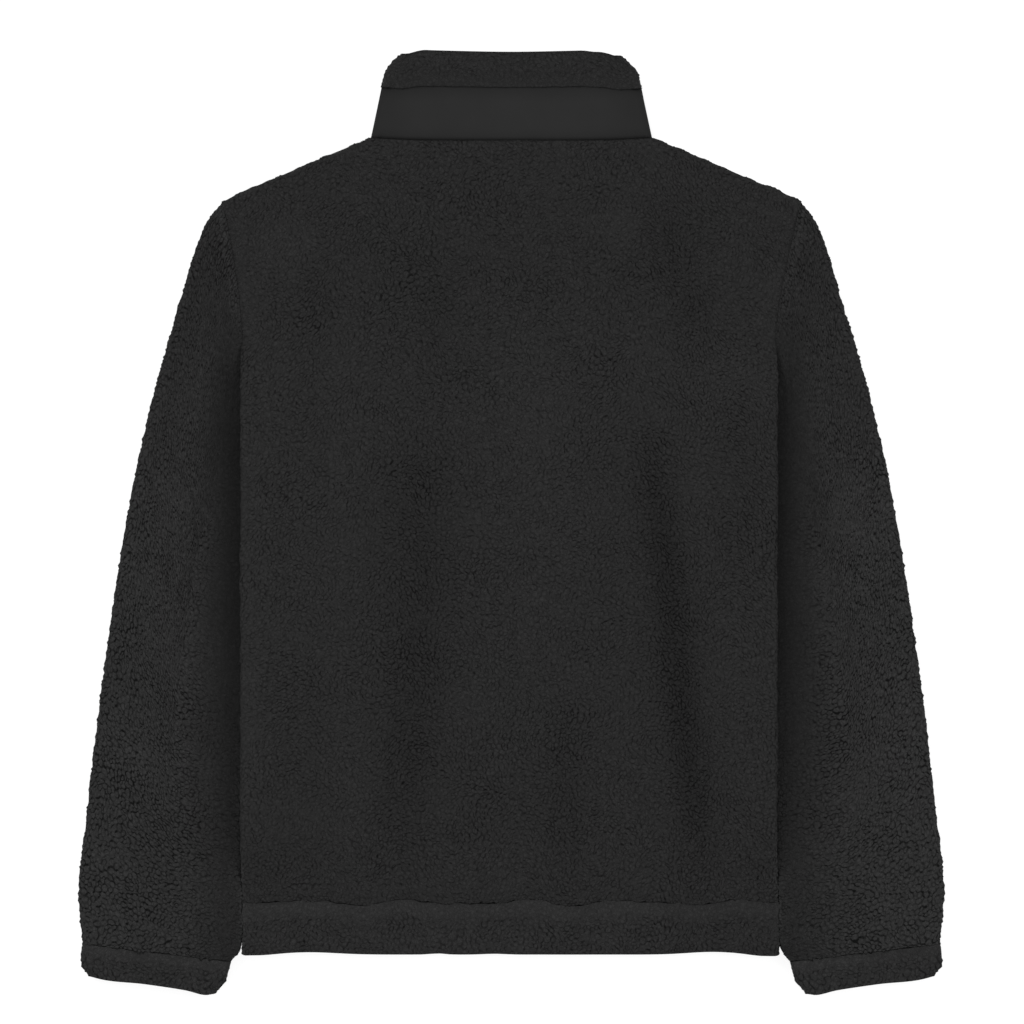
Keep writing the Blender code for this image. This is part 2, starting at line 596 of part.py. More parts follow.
def collar_y(x, layer, share):
    """Height on the collar, on its front half below and its back half above."""
    at_neck = np.minimum(np.abs(x) * NECK_HALF / mix(NECK_HALF, COLLAR_TOP_HALF, share), NECK_HALF - 1e-6)
    base = mix(front_top_y(at_neck), back_top_y(at_neck), layer)
    corner = COLLAR_CORNER_DROP * smooth((np.abs(x) - COLLAR_DROP_X) / COLLAR_DROP_WIDTH) * share
    return base + NECK_SEAM_GAP + COLLAR_HEIGHT * share - corner


def build_collar():
    across = np.array(NECK_COLUMNS_MM[:-1:2]) * MM / (NECK_HALF - FOLD)
    split = STAND_SHARE + NECK_SEAM_GAP / COLLAR_HEIGHT

    def stand_relief(x, y, row):
        return -STAND_DIP * (1.0 - smooth(np.minimum(row, 1.0 - row) / STAND_DIP_SHARE))

    def pile_relief(x, y, row):
        at_seam = SEAM_DIP * (1.0 - smooth(row / ROLL_SEAM_SHARE))
        return -at_seam - ROLL_DIP * (1.0 - smooth((1.0 - row) / ROLL_DIP_SHARE))

    pieces = (("collar_band", 0.0, STAND_SHARE, BAND_FOLD, BAND_WALL, stand_relief, WEAVE_COLOUR),
              ("collar_pile", split, 1.0, FOLD, WALL, pile_relief, PILE_COLOUR))
    rows = np.array((0.0, 0.2, 0.6, 0.86, 1.0))
    for name, low, high, fold, wall, relief, colour in pieces:
        skins = band_skins(lambda row: collar_half_width(mix(low, high, row)),
                           lambda x, layer: collar_y(x, layer, low),
                           lambda x, layer: collar_y(x, layer, high), rows, across, fold, wall, relief)
        add_wall(name, skins, finish(name, colour, 0.9))


def build_zip():
    """Tapes, closed teeth, slider with its bridge, and the pull tab on its hinge."""
    tape = finish("zip_tape", TAPE_COLOUR, 0.8)
    for name, sign in (("zip_tape_left", -1.0), ("zip_tape_right", 1.0)):
        inner, outer = sorted((sign * TAPE_INNER, sign * TAPE_OUTER))
        add_block(name, (inner, ZIP_LOW_Y, TAPE_LOW), (outer, ZIP_TOP_Y, TAPE_HIGH), tape.copy())
    slider_low_y = SLIDER_TOP_Y - SLIDER_LENGTH
    metal = finish("zip_metal", METAL_COLOUR, 0.35, 1.0)
    add_block("zip_chain", (-CHAIN_HALF, ZIP_LOW_Y, CHAIN_LOW),
              (CHAIN_HALF, slider_low_y - SEAM_GAP, CHAIN_HIGH), metal.copy())

    slider = add_block("zip_slider", (-SLIDER_HALF, slider_low_y, SLIDER_LOW),
                       (SLIDER_HALF, SLIDER_TOP_Y, SLIDER_HIGH), metal, bevel=SLIDER_BEVEL)
    pull_y = (SLIDER_TOP_Y + slider_low_y) / 2
    overlap = 0.4 * MM  # how far the joined pieces reach into each other
    inset = 0.1 * MM    # keeps the bar's ends off the faces of its posts
    inside = BRIDGE_REACH - BRIDGE_THICK
    guides = (
        ("slider_core", (-CORE_HALF, pull_y - 2 * CORE_HALF, SLIDER_HIGH - overlap),
         (CORE_HALF, pull_y + 2 * CORE_HALF, CHAIN_HIGH)),
        ("bridge_low_post", (-BRIDGE_HALF, pull_y - BRIDGE_REACH, BRIDGE_LOW),
         (BRIDGE_HALF, pull_y - inside, SLIDER_LOW + overlap)),
        ("bridge_high_post", (-BRIDGE_HALF, pull_y + inside, BRIDGE_LOW),
         (BRIDGE_HALF, pull_y + BRIDGE_REACH, SLIDER_LOW + overlap)),
        ("bridge_bar", (-BRIDGE_HALF, pull_y - BRIDGE_REACH + inset, BRIDGE_LOW),
         (BRIDGE_HALF, pull_y + BRIDGE_REACH - inset, BRIDGE_LOW + BRIDGE_THICK)),
    )
    for name, low, high in guides:
        combine(slider, add_block(name, low, high), "UNION")

    half = PULL_THICK / 2
    pull = add_block("zip_pull", (-PULL_HALF, half - PULL_LENGTH, -half), (PULL_HALF, half, half),
                     metal.copy(), bevel=PULL_BEVEL)
    window = add_block("pull_window", (-PULL_WINDOW_HALF, -half - PULL_WINDOW_LENGTH, -PULL_THICK),
                       (PULL_WINDOW_HALF, -half, PULL_THICK))
    combine(pull, window, "DIFFERENCE")
    hinge = bpy.data.objects.new("zip_pull_hinge", None)
    hinge.location = (0.0, pull_y, PULL_AXIS_Z)
    bpy.context.scene.collection.objects.link(hinge)
    pull.parent = hinge


def main():
    for old in list(bpy.data.objects):
        bpy.data.objects.remove(old, do_unlink=True)
    build_body()
    build_sleeves()
    build_hem()
    build_collar()
    build_zip()


main()
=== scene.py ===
"""Looks of the sherpa jacket: curly pile, woven collar stand, zip and a pale studio floor.

Everything is in metres in the frame's own axes: +X to the right of the back, +Y towards the collar,
+Z up from the surface that the jacket lies on. The cloth's forms repeat those of the solids, finer.
"""
import math

import bpy
import numpy as np
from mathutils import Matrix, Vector
from mathutils.geometry import delaunay_2d_cdt


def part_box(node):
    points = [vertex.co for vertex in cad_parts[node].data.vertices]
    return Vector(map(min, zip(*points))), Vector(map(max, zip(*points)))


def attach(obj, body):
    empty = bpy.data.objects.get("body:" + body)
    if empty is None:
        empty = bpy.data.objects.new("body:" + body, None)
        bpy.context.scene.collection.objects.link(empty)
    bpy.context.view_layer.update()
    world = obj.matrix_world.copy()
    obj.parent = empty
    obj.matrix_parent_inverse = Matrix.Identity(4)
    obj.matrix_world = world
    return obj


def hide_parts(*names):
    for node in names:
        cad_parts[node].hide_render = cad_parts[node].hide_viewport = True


bl_info = {
    "name": "Sherpa jacket",
    "version": (1, 0, 0),
    "blender": (4, 5, 0),
    "location": "View3D > Sidebar > Jacket",
    "description": "Pile cloth, woven collar, zip and studio for the sherpa jacket",
    "category": "Object",
}

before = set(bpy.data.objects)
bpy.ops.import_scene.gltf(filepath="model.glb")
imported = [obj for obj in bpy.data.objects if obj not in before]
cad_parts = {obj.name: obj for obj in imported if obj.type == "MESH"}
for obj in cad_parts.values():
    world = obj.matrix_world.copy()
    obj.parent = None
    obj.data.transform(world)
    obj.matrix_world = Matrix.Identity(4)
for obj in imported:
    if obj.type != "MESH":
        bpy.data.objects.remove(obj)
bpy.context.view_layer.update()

MM = 0.001

# Body, as in the solids
CHEST_HALF = 226.4 * MM
SHOULDER_HALF = 243.2 * MM
SHOULDER_TIP_Y = 268.0 * MM
ARMHOLE_END_Y = 148.7 * MM
ARMHOLE_BEND = 1.6
NECK_HALF = 118.4 * MM
NECK_CORNER_Y = 322.5 * MM
SHOULDER_RUN = SHOULDER_HALF - NECK_HALF
SHOULDER_FALL = NECK_CORNER_Y - SHOULDER_TIP_Y
SHOULDER_LENGTH = math.hypot(SHOULDER_RUN, SHOULDER_FALL)
SHOULDER_BULGE = 1.2 * MM
TIP_BULGE, TIP_PLACE, TIP_REACH = 1.5 * MM, 0.86, 0.13  # the last two as shares of the shoulder
BACK_NECK_Y = 320.0 * MM
FRONT_NECK_Y = 286.0 * MM
FRONT_NECK_BEND = 2.4
HEM_SEAM_Y = -319.2 * MM
HEM_EDGE_Y = -363.0 * MM
HEM_CORNER = 2.5 * MM
FRONT_EDGE = 5.6 * MM

# Cloth
WALL, FOLD = 6.0 * MM, 7.75 * MM
BAND_WALL, BAND_FOLD = 4.5 * MM, 6.5 * MM
PRESSED = -0.1 * MM             # sewn edges are pressed into each other
SEAM_DIP, SEAM_DIP_WIDTH = 1.7 * MM, 9.0 * MM
NECK_FILL, ARMHOLE_FILL = 0.6, 0.25     # share of the dip that the pile leaves open
FOLD_TURN = 13.0 * MM
SQUARE_FOLD = 5.0               # 2 is a round fold; higher is squarer
LAYER_LOW, LAYER_HIGH = 6.0 * MM, 7.4 * MM
SLEEVE_STACK = 2 * FOLD + 0.3 * MM
RIDE_WIDTH, RIDE_MARGIN = 26.0 * MM, 10.0 * MM
SOFT_RIDE_WIDTH, SOFT_RIDE_FADE = 85.0 * MM, 70.0 * MM
MOUTH_MARGIN = 19.0 * MM
RIDE_START_Y, RIDE_FADE = -312.0 * MM, 55.0 * MM

# Outlines (x, y) of sleeve and cuff
OUTER_FOLD_MM = (
    (242.8, 268.0),
    (250.5, 260.6),
    (259.1, 245.3),
    (265.9, 228.5),
    (275.9, 194.9),
    (295.3, 127.7),
    (312.1, 60.5),
    (330.5, -40.3),
    (344.8, -141.1),
    (356.6, -241.9),
    (363.3, -321.7),
    (361.4, -341.0),
    (360.4, -353.6),
)
INNER_FOLD_MM = (
    (140.0, 57.4),
    (179.0, -40.0),
    (202.0, -120.0),
    (219.0, -200.0),
    (226.3, -262.0),
    (226.2, -300.0),
    (226.2, -346.0),
    (227.6, -358.2),
    (235.6, -368.4),
)
CUFF_OUTER_MM = ((360.3, -353.9), (361.6, -362.0), (360.2, -374.0), (355.5, -380.6))
CUFF_INNER_MM = ((235.6, -368.8), (237.6, -377.0), (240.4, -385.6), (248.2, -395.6))
CUFF_EDGE_MM = ((355.5, -380.6), (345.0, -383.4), (307.9, -387.6), (273.4, -392.8), (253.3, -396.7),
                (248.2, -395.6))
MOUTH_CORNER_X, MOUTH_CORNER_Y = 227.2 * MM, 101.0 * MM
MOUTH_SLOPE = 0.5
START_TURN, END_TURN = 0.12, 0.08
RELIEF_FADE = 0.12

# Collar
COLLAR_HEIGHT, COLLAR_TOP_HALF = 75.8 * MM, 103.5 * MM
STAND_SHARE = 0.606
COLLAR_CORNER_SIDE, COLLAR_CORNER_START = 10.5 * MM, 0.75
COLLAR_CORNER_DROP = 5.0 * MM
COLLAR_DROP_X, COLLAR_DROP_WIDTH = 72.0 * MM, 22.0 * MM
COLLAR_RIGHT_DROP, COLLAR_RIGHT_X, COLLAR_RIGHT_WIDTH = 1.6 * MM, 58.0 * MM, 14.0 * MM
COLLAR_SAG, COLLAR_SAG_WIDTH = 1.0 * MM, 45.0 * MM
STAND_DIP, STAND_DIP_SHARE = 1.2 * MM, 0.16
STAND_TOP_DIP, STAND_TOP_SHARE = 0.3, 0.3       # the first as a share of STAND_DIP
ROLL_DIP, ROLL_DIP_SHARE = 2.4 * MM, 0.35
ROLL_SEAM_DIP, ROLL_SEAM_SHARE = 2.3 * MM, 0.45

# Waves of the hem seam (length, height, crest x) and gathers beside it
HEM_WAVES_MM = ((92.0, 1.9, -176.0), (57.0, 0.9, 21.0), (23.0, 0.4, 4.0), (14.0, 0.5, 0.0),
                (9.1, 0.4, 2.0))
HEM_EDGE_SWELLS_MM = ((-170.0, 32.0, 2.0), (170.0, 30.0, 2.3), (-212.0, 18.0, -1.0), (214.0, 16.0, -1.6),
                      (-62.0, 8.0, 1.0), (-14.0, 12.0, 0.7))
HEM_WAVE_FADE = 24.0 * MM
PUCKER_LENGTH, PUCKER_HEIGHT, PUCKER_REACH = 58.0 * MM, 1.1 * MM, 26.0 * MM
PUCKER_DRIFT, PUCKER_DRIFT_LENGTH = 9.0 * MM, 37.0 * MM
PUCKER_SWELL, PUCKER_SWELL_LENGTH = 0.35, 61.0 * MM

# Soft folds (x0, y0, x1, y1, half width, height); negative heights are troughs
BACK_CREASES_MM = (
    (-80.0, 190.0, -66.0, -318.0, 24.0, -2.3),
    (112.0, 210.0, 142.0, -318.0, 28.0, -2.6),
    (-14.0, 90.0, -4.0, -270.0, 18.0, -1.1),
    (-166.0, 60.0, -150.0, -300.0, 20.0, -1.0),
    (-120.0, 20.0, -112.0, -310.0, 20.0, 0.9),
    (60.0, 120.0, 72.0, -310.0, 24.0, 1.0),
    (190.0, 300.0, 60.0, 205.0, 24.0, 0.9),
    (-205.0, 290.0, -110.0, 215.0, 22.0, 0.9),
)
SLEEVE_CREASES_MM = (
    (262.0, 205.0, 300.0, -10.0, 13.0, -1.7),
    (325.0, 20.0, 240.0, -70.0, 14.0, -1.6),
    (338.0, -95.0, 262.0, -140.0, 12.0, -1.9),
    (345.0, -175.0, 270.0, -205.0, 13.0, -1.3),
    (300.0, -190.0, 312.0, -345.0, 12.0, -1.5),
    (272.0, -230.0, 282.0, -360.0, 10.0, -1.2),
)
CREASE_END = 0.3
DEEPEST_FOLD = -2.7 * MM
SEAM_RIDGE, SEAM_RIDGE_WIDTH, SEAM_RIDGE_OUT = 1.0 * MM, 3.6 * MM, 4.8 * MM
SEAM_RIDGE_END, SEAM_RIDGE_FADE = 8.0 * MM, 20.0 * MM

# Fineness of the forms
GRID_STEP = 4.0 * MM
ARMHOLE_POINTS, EDGE_POINTS = 24, 40
SLEEVE_END, SLEEVE_END_RINGS = 0.03, 5          # closer rings on this share of the sleeve at each end
SLEEVE_RINGS, SLEEVE_COLUMNS, CUFF_RINGS, CUFF_COLUMNS = 140, 40, 14, 34
HEM_ROWS, COLLAR_ROWS = 16, 14
FOLD_ANGLES = tuple(math.radians(11.25 * step) for step in range(1, 9))
FINE_STEPS = np.sin(np.array((0.0, *FOLD_ANGLES)))      # places on a quarter fold, from flat to edge

# Pile
LOCKS_GONE = 0.16               # share of the even pattern's locks that are left out
CRACK_DEPTH = 1.1 * MM
CRACK_ACROSS, CRACK_ALONG = 0.55, 0.28  # depth across the nap, and how much more along it
CRACK_SPREAD, CRACK_RANGE = (0.5, 1.2), (0.02, 1.5)
RIM_SPREAD = (0.3, 1.1)
TOP_SPREAD = 0.45 * MM          # how unevenly high the locks stand
TONE_SPREAD = (0.95, 1.05)
EDGE_BULGE = 1.6 * MM           # how far locks stand out on a folded edge
EDGE_PULL = 0.3                 # and how far they are drawn in on its lower half, as a share of that
EDGE_LEVEL, EDGE_SLOPE, EDGE_MOST = 0.35, 2.2, 1.3      # how the bulge grows towards the upper side
EDGE_LOCKS, EDGE_CRACKS, EDGE_RIM = (0.3, 1.4), 0.35, 0.4   # shares of it that locks, cracks and rims take
EDGE_SHALLOW = 0.5              # how much shallower the cracks are there
EDGE_WOBBLE, EDGE_WOBBLE_SIZE = 0.75 * MM, 8 * MM
FRINGE_SPREAD, FRINGE_NOTCH = (0.2, 1.3), 0.3   # uneven reach over a seam, and its share between locks
FRINGE_LIFT = 0.7               # rise of the locks that hang over a seam, as a share of their reach
SWIRLS, SWIRL_SHEAR = 10, 0.25  # how the rows of locks bend
SWIRL_LENGTHS = (22.0 * MM, 60.0 * MM)
LINING_SPACING = 22.0 * MM      # faces of the plain inner side
ROW_HEIGHT = 0.866              # of an even triangular pattern, as a share of its spacing
LOCK_JITTER = 0.43              # how far locks stray from that pattern, as a share of its spacing
CLOUD_WAVES = 9
BORDER_SAMPLES = 400

TAPE_THIN = 0.5 * MM
BEAD_ANGLES = tuple(math.radians(step) for step in range(60, 301, 40))
BEAD_WIDTH = 2.4                # of the tape's bead, in its radius
# Outline of a tooth: share of the way across and of the way up
TOOTH_OUTLINE = ((-0.55, 0.3), (-0.35, 0.75), (0.3, 0.95), (0.95, 0.95), (1.0, 0.85))
TOOTH_HALF, TOOTH_FLAT, TOOTH_END = 0.21, 0.7, 0.88     # half length in the pitch, flat part, end's size

# Name, lower and upper corner, height and glow of each part of the table
FLOORS = (
    ("floor", (-8.0, -8.0), (8.0, 8.0), -0.2 * MM, 0.86),
    # Unlit sheet under the body: painted shade under the cloth
    ("shade_sheet_under_body", (-216.0 * MM, -352.0 * MM), (216.0 * MM, 258.0 * MM), -0.1 * MM, 0.0),
)
# Name, place, power in watts and width of each softbox
LIGHTS = (("key", (-1.7, 1.8, 2.4), 42.0, 1.6), ("fill", (2.3, 0.2, 2.2), 22.0, 1.8))
PICTURE, PIXEL = 1024, 0.84 * MM
VIEW_SHIFT = (0.5, 10)          # in pixels of the picture
VIEW_Z = 10 * MM                # height on the jacket at which the picture has its scale

# The body's right side lies further in than its left, less so at the hem. Each pair gives where the
# move starts and over which length.
LEAN, LEAN_HEM = 4.3 * MM, 1.7 * MM
LEAN_INNER, LEAN_OUTER = (120.0 * MM, 90.0 * MM), (232.0 * MM, 70.0 * MM)
LEAN_LOW, LEAN_HIGH = (-325.0 * MM, 45.0 * MM), (150.0 * MM, 110.0 * MM)


# --- Forms of the cloth, as in the solids -------------------------------------------------------

def smooth(share):
    share = np.clip(share, 0.0, 1.0)
    return share * share * (3.0 - 2.0 * share)


def mix(first, last, share):
    return first + (last - first) * share


def bell(distance, width):
    """1 in the middle, fading to each side."""
    return np.exp(-((distance / width) ** 2))


def rise(distance, start, over, low=0.0, high=1.0):
    """From low at the start to high; a negative length runs down from the start."""
    return mix(low, high, smooth((distance - start) / over))


def unit(vectors):
    return vectors / np.maximum(np.linalg.norm(vectors, axis=-1, keepdims=True), 1e-12)


def running(steps):
    """0, then the running total of the steps."""
    return np.concatenate(([0.0], np.cumsum(steps)))


def spline(points_mm):
    """Smooth curve through the points, as a function of the share of its length."""
    points = np.array(points_mm) * MM
    knots = running(np.linalg.norm(np.diff(points, axis=0), axis=1))
    slopes = np.gradient(points, knots, axis=0)

    def at(shares):
        places = np.clip(shares, 0.0, 1.0) * knots[-1]
        index = np.clip(np.searchsorted(knots, places, side="right") - 1, 0, len(knots) - 2)
        span = (knots[index + 1] - knots[index])[..., None]
        t = (places - knots[index])[..., None] / span
        return ((2 * t**3 - 3 * t**2 + 1) * points[index] + (t**3 - 2 * t**2 + t) * span * slopes[index]
                + (3 * t**2 - 2 * t**3) * points[index + 1] + (t**3 - t**2) * span * slopes[index + 1])

    return at


def path(points):
    """Line with corners through the points, as a function of the share of its length."""
    points = np.asarray(points)
    knots = running(np.linalg.norm(np.diff(points, axis=0), axis=1))

    def at(shares):
        places = np.asarray(shares) * knots[-1]
        return np.stack([np.interp(places, knots, points[:, axis]) for axis in (0, 1)], axis=-1)

    return at, knots[-1]


def side_x(y):
    """Side edge of the body: the armhole seam above, the side fold below."""
    up = np.clip((y - ARMHOLE_END_Y) / (SHOULDER_TIP_Y - ARMHOLE_END_Y), 0.0, 1.0)
    return CHEST_HALF + (SHOULDER_HALF - CHEST_HALF) * up**ARMHOLE_BEND


def shoulder_y(x):
    out = (np.abs(x) - NECK_HALF) / SHOULDER_RUN
    bulge = SHOULDER_BULGE * np.sin(math.pi * np.clip(out, 0.0, 1.0))
    return mix(NECK_CORNER_Y, SHOULDER_TIP_Y, out) + (bulge + TIP_BULGE * bell(out - TIP_PLACE, TIP_REACH))


def back_top_y(x):
    """Upper edge of the back: neck seam in the middle, shoulder folds beside it."""
    neck = mix(BACK_NECK_Y, NECK_CORNER_Y, (np.abs(x) / NECK_HALF) ** 4)
    return np.where(np.abs(x) < NECK_HALF, neck, shoulder_y(x))


def front_top_y(x):
    """Upper edge of a front: scooped neck seam, then the shoulder fold."""
    neck = mix(FRONT_NECK_Y, NECK_CORNER_Y, (np.abs(x) / NECK_HALF) ** FRONT_NECK_BEND)
    return np.where(np.abs(x) < NECK_HALF, neck, shoulder_y(x))


def hem_seam_y(x):
    waves = np.array(HEM_WAVES_MM)
    total = sum(height * np.cos(2 * math.pi * (x / MM - crest) / length) for length, height, crest in waves)
    return HEM_SEAM_Y + total * MM * smooth((CHEST_HALF - np.abs(x)) / HEM_WAVE_FADE)


def inner_fold_x(y):
    """Distance of the sleeve's inner fold from the centre line."""
    curve = spline(INNER_FOLD_MM)(np.linspace(1.0, 0.0, 120))
    return np.interp(y, curve[:, 1], curve[:, 0])


def mouth_y(x):
    return MOUTH_CORNER_Y - MOUTH_SLOPE * (MOUTH_CORNER_X - np.abs(x))


def ride(x, y, softness):
    """How far the body is raised where it lies over a tucked-in sleeve; the back slopes more softly."""
    inside = smooth((CHEST_HALF - np.abs(x)) / SOFT_RIDE_FADE)
    beside = (inner_fold_x(y) - np.abs(x) - RIDE_MARGIN) / mix(RIDE_WIDTH, SOFT_RIDE_WIDTH, softness)
    above = (y - mouth_y(x)) * math.cos(math.atan(MOUTH_SLOPE)) - MOUTH_MARGIN
    above = above / mix(RIDE_WIDTH, SOFT_RIDE_WIDTH, softness * inside)
    up_from_hem = (y - RIDE_START_Y) / RIDE_FADE
    return SLEEVE_STACK * (1.0 - smooth(beside)) * (1.0 - smooth(above)) * smooth(up_from_hem)


def soft_bands(x, y, rows_mm):
    """Sum of the soft-edged bands that the rows list, each with its own amount in its last column."""
    total = np.zeros_like(x)
    for *sizes, amount in rows_mm:
        x0, y0, x1, y1, half_width = np.array(sizes) * MM
        length = math.hypot(x1 - x0, y1 - y0)
        along_x, along_y = (x1 - x0) / length, (y1 - y0) / length
        along = ((x - x0) * along_x + (y - y0) * along_y) / length
        across = (x - x0) * along_y - (y - y0) * along_x
        ends = smooth(along / CREASE_END) * smooth((1 - along) / CREASE_END)
        total += amount * np.exp(-((across / half_width) ** 2)) * ends
    return total


def puckers(x, distance):
    """Gathers beside the hem seam, fading with the distance from it."""
    uneven = x + PUCKER_DRIFT * np.sin(x / PUCKER_DRIFT_LENGTH)
    height = PUCKER_HEIGHT * (1.0 - PUCKER_SWELL * (1.0 - np.sin(x / PUCKER_SWELL_LENGTH + 1.0)))
    return height * np.cos(2 * math.pi * uneven / PUCKER_LENGTH) * np.exp(-np.abs(distance) / PUCKER_REACH)


def dip(distance):
    """How far the pile sinks beside a seam."""
    return SEAM_DIP * (1.0 - smooth(distance / SEAM_DIP_WIDTH))


def body_plan(shares, rows, start_x, top_y, wave):
    """Grid over a body panel: shares run from start_x to the side, rows from the top to the hem seam."""
    share, row = np.meshgrid(shares, rows)
    sign = np.where(share < 0, -1.0, 1.0)
    share = np.abs(share)
    width = side_x(mix(SHOULDER_TIP_Y, HEM_SEAM_Y, row))
    x = sign * mix(start_x, width, share)
    top = top_y(mix(start_x, SHOULDER_HALF, share))
    bottom = mix(HEM_SEAM_Y, hem_seam_y(sign * mix(start_x, CHEST_HALF, share)), wave)
    return x, mix(top, bottom, row)


def near_folds(x, y):
    """1 on a folded edge, 0 at its radius and beyond, for the side fold and for the shoulder fold."""
    folded = smooth((ARMHOLE_END_Y - y) / FOLD_TURN)
    side = folded * (1.0 - np.clip((CHEST_HALF - np.abs(x)) / FOLD, 0.0, 1.0))
    out = np.abs(x) - NECK_HALF
    down = shoulder_y(x) - y + out * SHOULDER_FALL / SHOULDER_RUN
    along = np.clip((out * SHOULDER_RUN + down * SHOULDER_FALL) / SHOULDER_LENGTH**2, 0.0, 1.0)
    gap = np.hypot(out - along * SHOULDER_RUN, np.maximum(down - along * SHOULDER_FALL, 0.0))
    return side, 1.0 - np.clip(gap / FOLD, 0.0, 1.0)


def body_skins(x, y, up, folds, seams):
    """Outer and inner points of a body panel; up is 1 for the back and -1 for a front."""
    side, shoulder = near_folds(x, y)
    height = (1.0 - np.maximum(side, shoulder) ** SQUARE_FOLD) ** (1.0 / SQUARE_FOLD)
    middle = FOLD + ride(x, y, (1.0 + up) / 2) + up * PRESSED / 2
    outer_z = middle + up * (FOLD - PRESSED / 2) * height + (folds + seams) * height
    inner_z = middle + up * (FOLD - WALL - PRESSED / 2) * height + np.maximum(folds, DEEPEST_FOLD) * height
    inner_x = x - np.sign(x) * WALL * (side + shoulder * SHOULDER_FALL / SHOULDER_LENGTH)
    inner_y = y - WALL * shoulder * SHOULDER_RUN / SHOULDER_LENGTH
    return np.stack((x, y, outer_z), axis=-1), np.stack((inner_x, inner_y, inner_z), axis=-1)


def edge_directions(curve, shares, start, end):
    """Unit directions from a fold into the tube, turned onto its first and last lines at the ends."""
    step = 0.004  # of the length, to each side of a share
    tangent = curve(np.minimum(shares + step, 1.0)) - curve(np.maximum(shares - step, 0.0))
    normal = unit(np.stack((-tangent[:, 1], tangent[:, 0]), axis=-1))
    middle = (start + end)[None, :]
    normal *= np.sign(np.sum(normal * middle, axis=1, keepdims=True))
    at_start = (1.0 - smooth(shares / START_TURN))[:, None]
    at_end = (1.0 - smooth((1.0 - shares) / END_TURN))[:, None]
    return unit(normal * (1.0 - at_start) * (1.0 - at_end) + start * at_start + end * at_end)


def fold_profile(angle, roundness):
    """How far out and up a fold's profile is at an angle, in its radius."""
    return tuple(math.copysign(abs(part) ** (2.0 / roundness), part)
                 for part in (math.cos(angle), math.sin(angle)))


def tube_skins(outer_fold, inner_fold, first_line, last_line, along, across, relief):
    """Outer and inner skins of a flattened tube, as rings between its first and its last line."""
    (first, first_length), (last, last_length) = first_line, last_line
    outer_edge, inner_edge = outer_fold(along), inner_fold(along)
    first_in, last_in = FOLD / first_length, FOLD / last_length
    into_outer = edge_directions(outer_fold, along, unit(first(first_in) - first(0.0)),
                                 unit(last(last_in) - last(0.0)))
    into_inner = edge_directions(inner_fold, along, unit(first(1 - first_in) - first(1.0)),
                                 unit(last(1 - last_in) - last(1.0)))

    share = np.concatenate(([0.0], across, [1.0]))[None, :, None]
    t = along[:, None, None]
    ends = [line(mix(inset, 1.0 - inset, share[0, :, 0]))
            for line, inset in ((first, first_in), (last, last_in))]
    outer_side = (outer_edge + into_outer * FOLD)[:, None, :]
    inner_side = (inner_edge + into_inner * FOLD)[:, None, :]
    straight = [mix(end[0], end[-1], share) for end in ends]
    plan = (mix(ends[0][None], ends[1][None], t) + mix(outer_side, inner_side, share)
            - mix(straight[0], straight[1], t))
    x, y = plan[..., 0], plan[..., 1]
    fade = smooth(np.minimum(share, 1.0 - share)[..., 0] / RELIEF_FADE)
    raised = relief(x, y) * fade

    skins = []
    for radius in (FOLD, FOLD - WALL):
        def fold_columns(edge, into, angles, roundness=2.0, radius=radius):
            for angle in angles:
                out, up = fold_profile(angle, roundness)
                place = edge + into * (FOLD - radius * out)
                yield np.column_stack((place, np.full(len(place), FOLD + radius * up)))

        below = tuple(-angle for angle in FOLD_ANGLES)
        upper = np.stack((x, y, FOLD + radius + raised), axis=-1)[:, 1:-1]
        lower = np.stack((x, y, np.full_like(x, FOLD - radius)), axis=-1)[:, -2:0:-1]
        columns = [*fold_columns(outer_edge, into_outer, (0.0, *FOLD_ANGLES)),
                   *upper.transpose(1, 0, 2),
                   *fold_columns(inner_edge, into_inner, (*FOLD_ANGLES[::-1], 0.0, *below), SQUARE_FOLD),
                   *lower.transpose(1, 0, 2),
                   *fold_columns(outer_edge, into_outer, below[::-1])]
        skins.append(np.stack(columns, axis=1))
    return skins


def band_skins(half_width, low_edge, high_edge, rows, fold, wall, relief, roundness=2.0):
    """Outer and inner skins of a strip lying round the body, open at the centre of its lower layer."""
    flat = np.linspace(0.0, 1.0, int(CHEST_HALF / GRID_STEP))
    turn = np.concatenate([-np.array(FOLD_ANGLES)[::-1], [0.0], FOLD_ANGLES])
    inner_turn = turn[1:-1]
    parts = ((flat, -1.0, 1.0), (inner_turn, 0.0, 1.0), (mix(1.0, -1.0, flat), 1.0, 1.0),
             (inner_turn[::-1], 0.0, -1.0), (flat[::-1], -1.0, -1.0))
    row = rows[:, None]
    split = half_width(row) - fold
    skins = []
    for radius in (fold, fold - wall):
        columns = []
        for places, layer, sign in parts:
            if layer:
                x = split * places if layer > 0 else sign * mix(FRONT_EDGE, split, places)
                z = np.full_like(x, fold + layer * radius)
            else:
                out, up = np.transpose([fold_profile(angle, roundness) for angle in places])
                x = sign * (split + radius * out)
                z = np.broadcast_to(fold + radius * up, x.shape)
            turned = smooth((z - LAYER_LOW) / (LAYER_HIGH - LAYER_LOW))
            y = mix(low_edge(x, turned), high_edge(x, turned), row)
            lift = relief(x, y, row) if layer > 0 and radius == fold else 0.0
            columns.append(np.stack((x, y, z + lift), axis=-1))
        skins.append(np.concatenate(columns, axis=1))
    return skins


def fold_shares(span):
    """Shares from the middle of a span to its folded edge, close together round the fold."""
    start = 1.0 - FOLD / span
    return np.concatenate((np.linspace(0.0, start, int(span / GRID_STEP)), mix(start, 1.0, FINE_STEPS[1:])))


def body_rows():
    return 1.0 - fold_shares(SHOULDER_TIP_Y - HEM_SEAM_Y)[::-1]


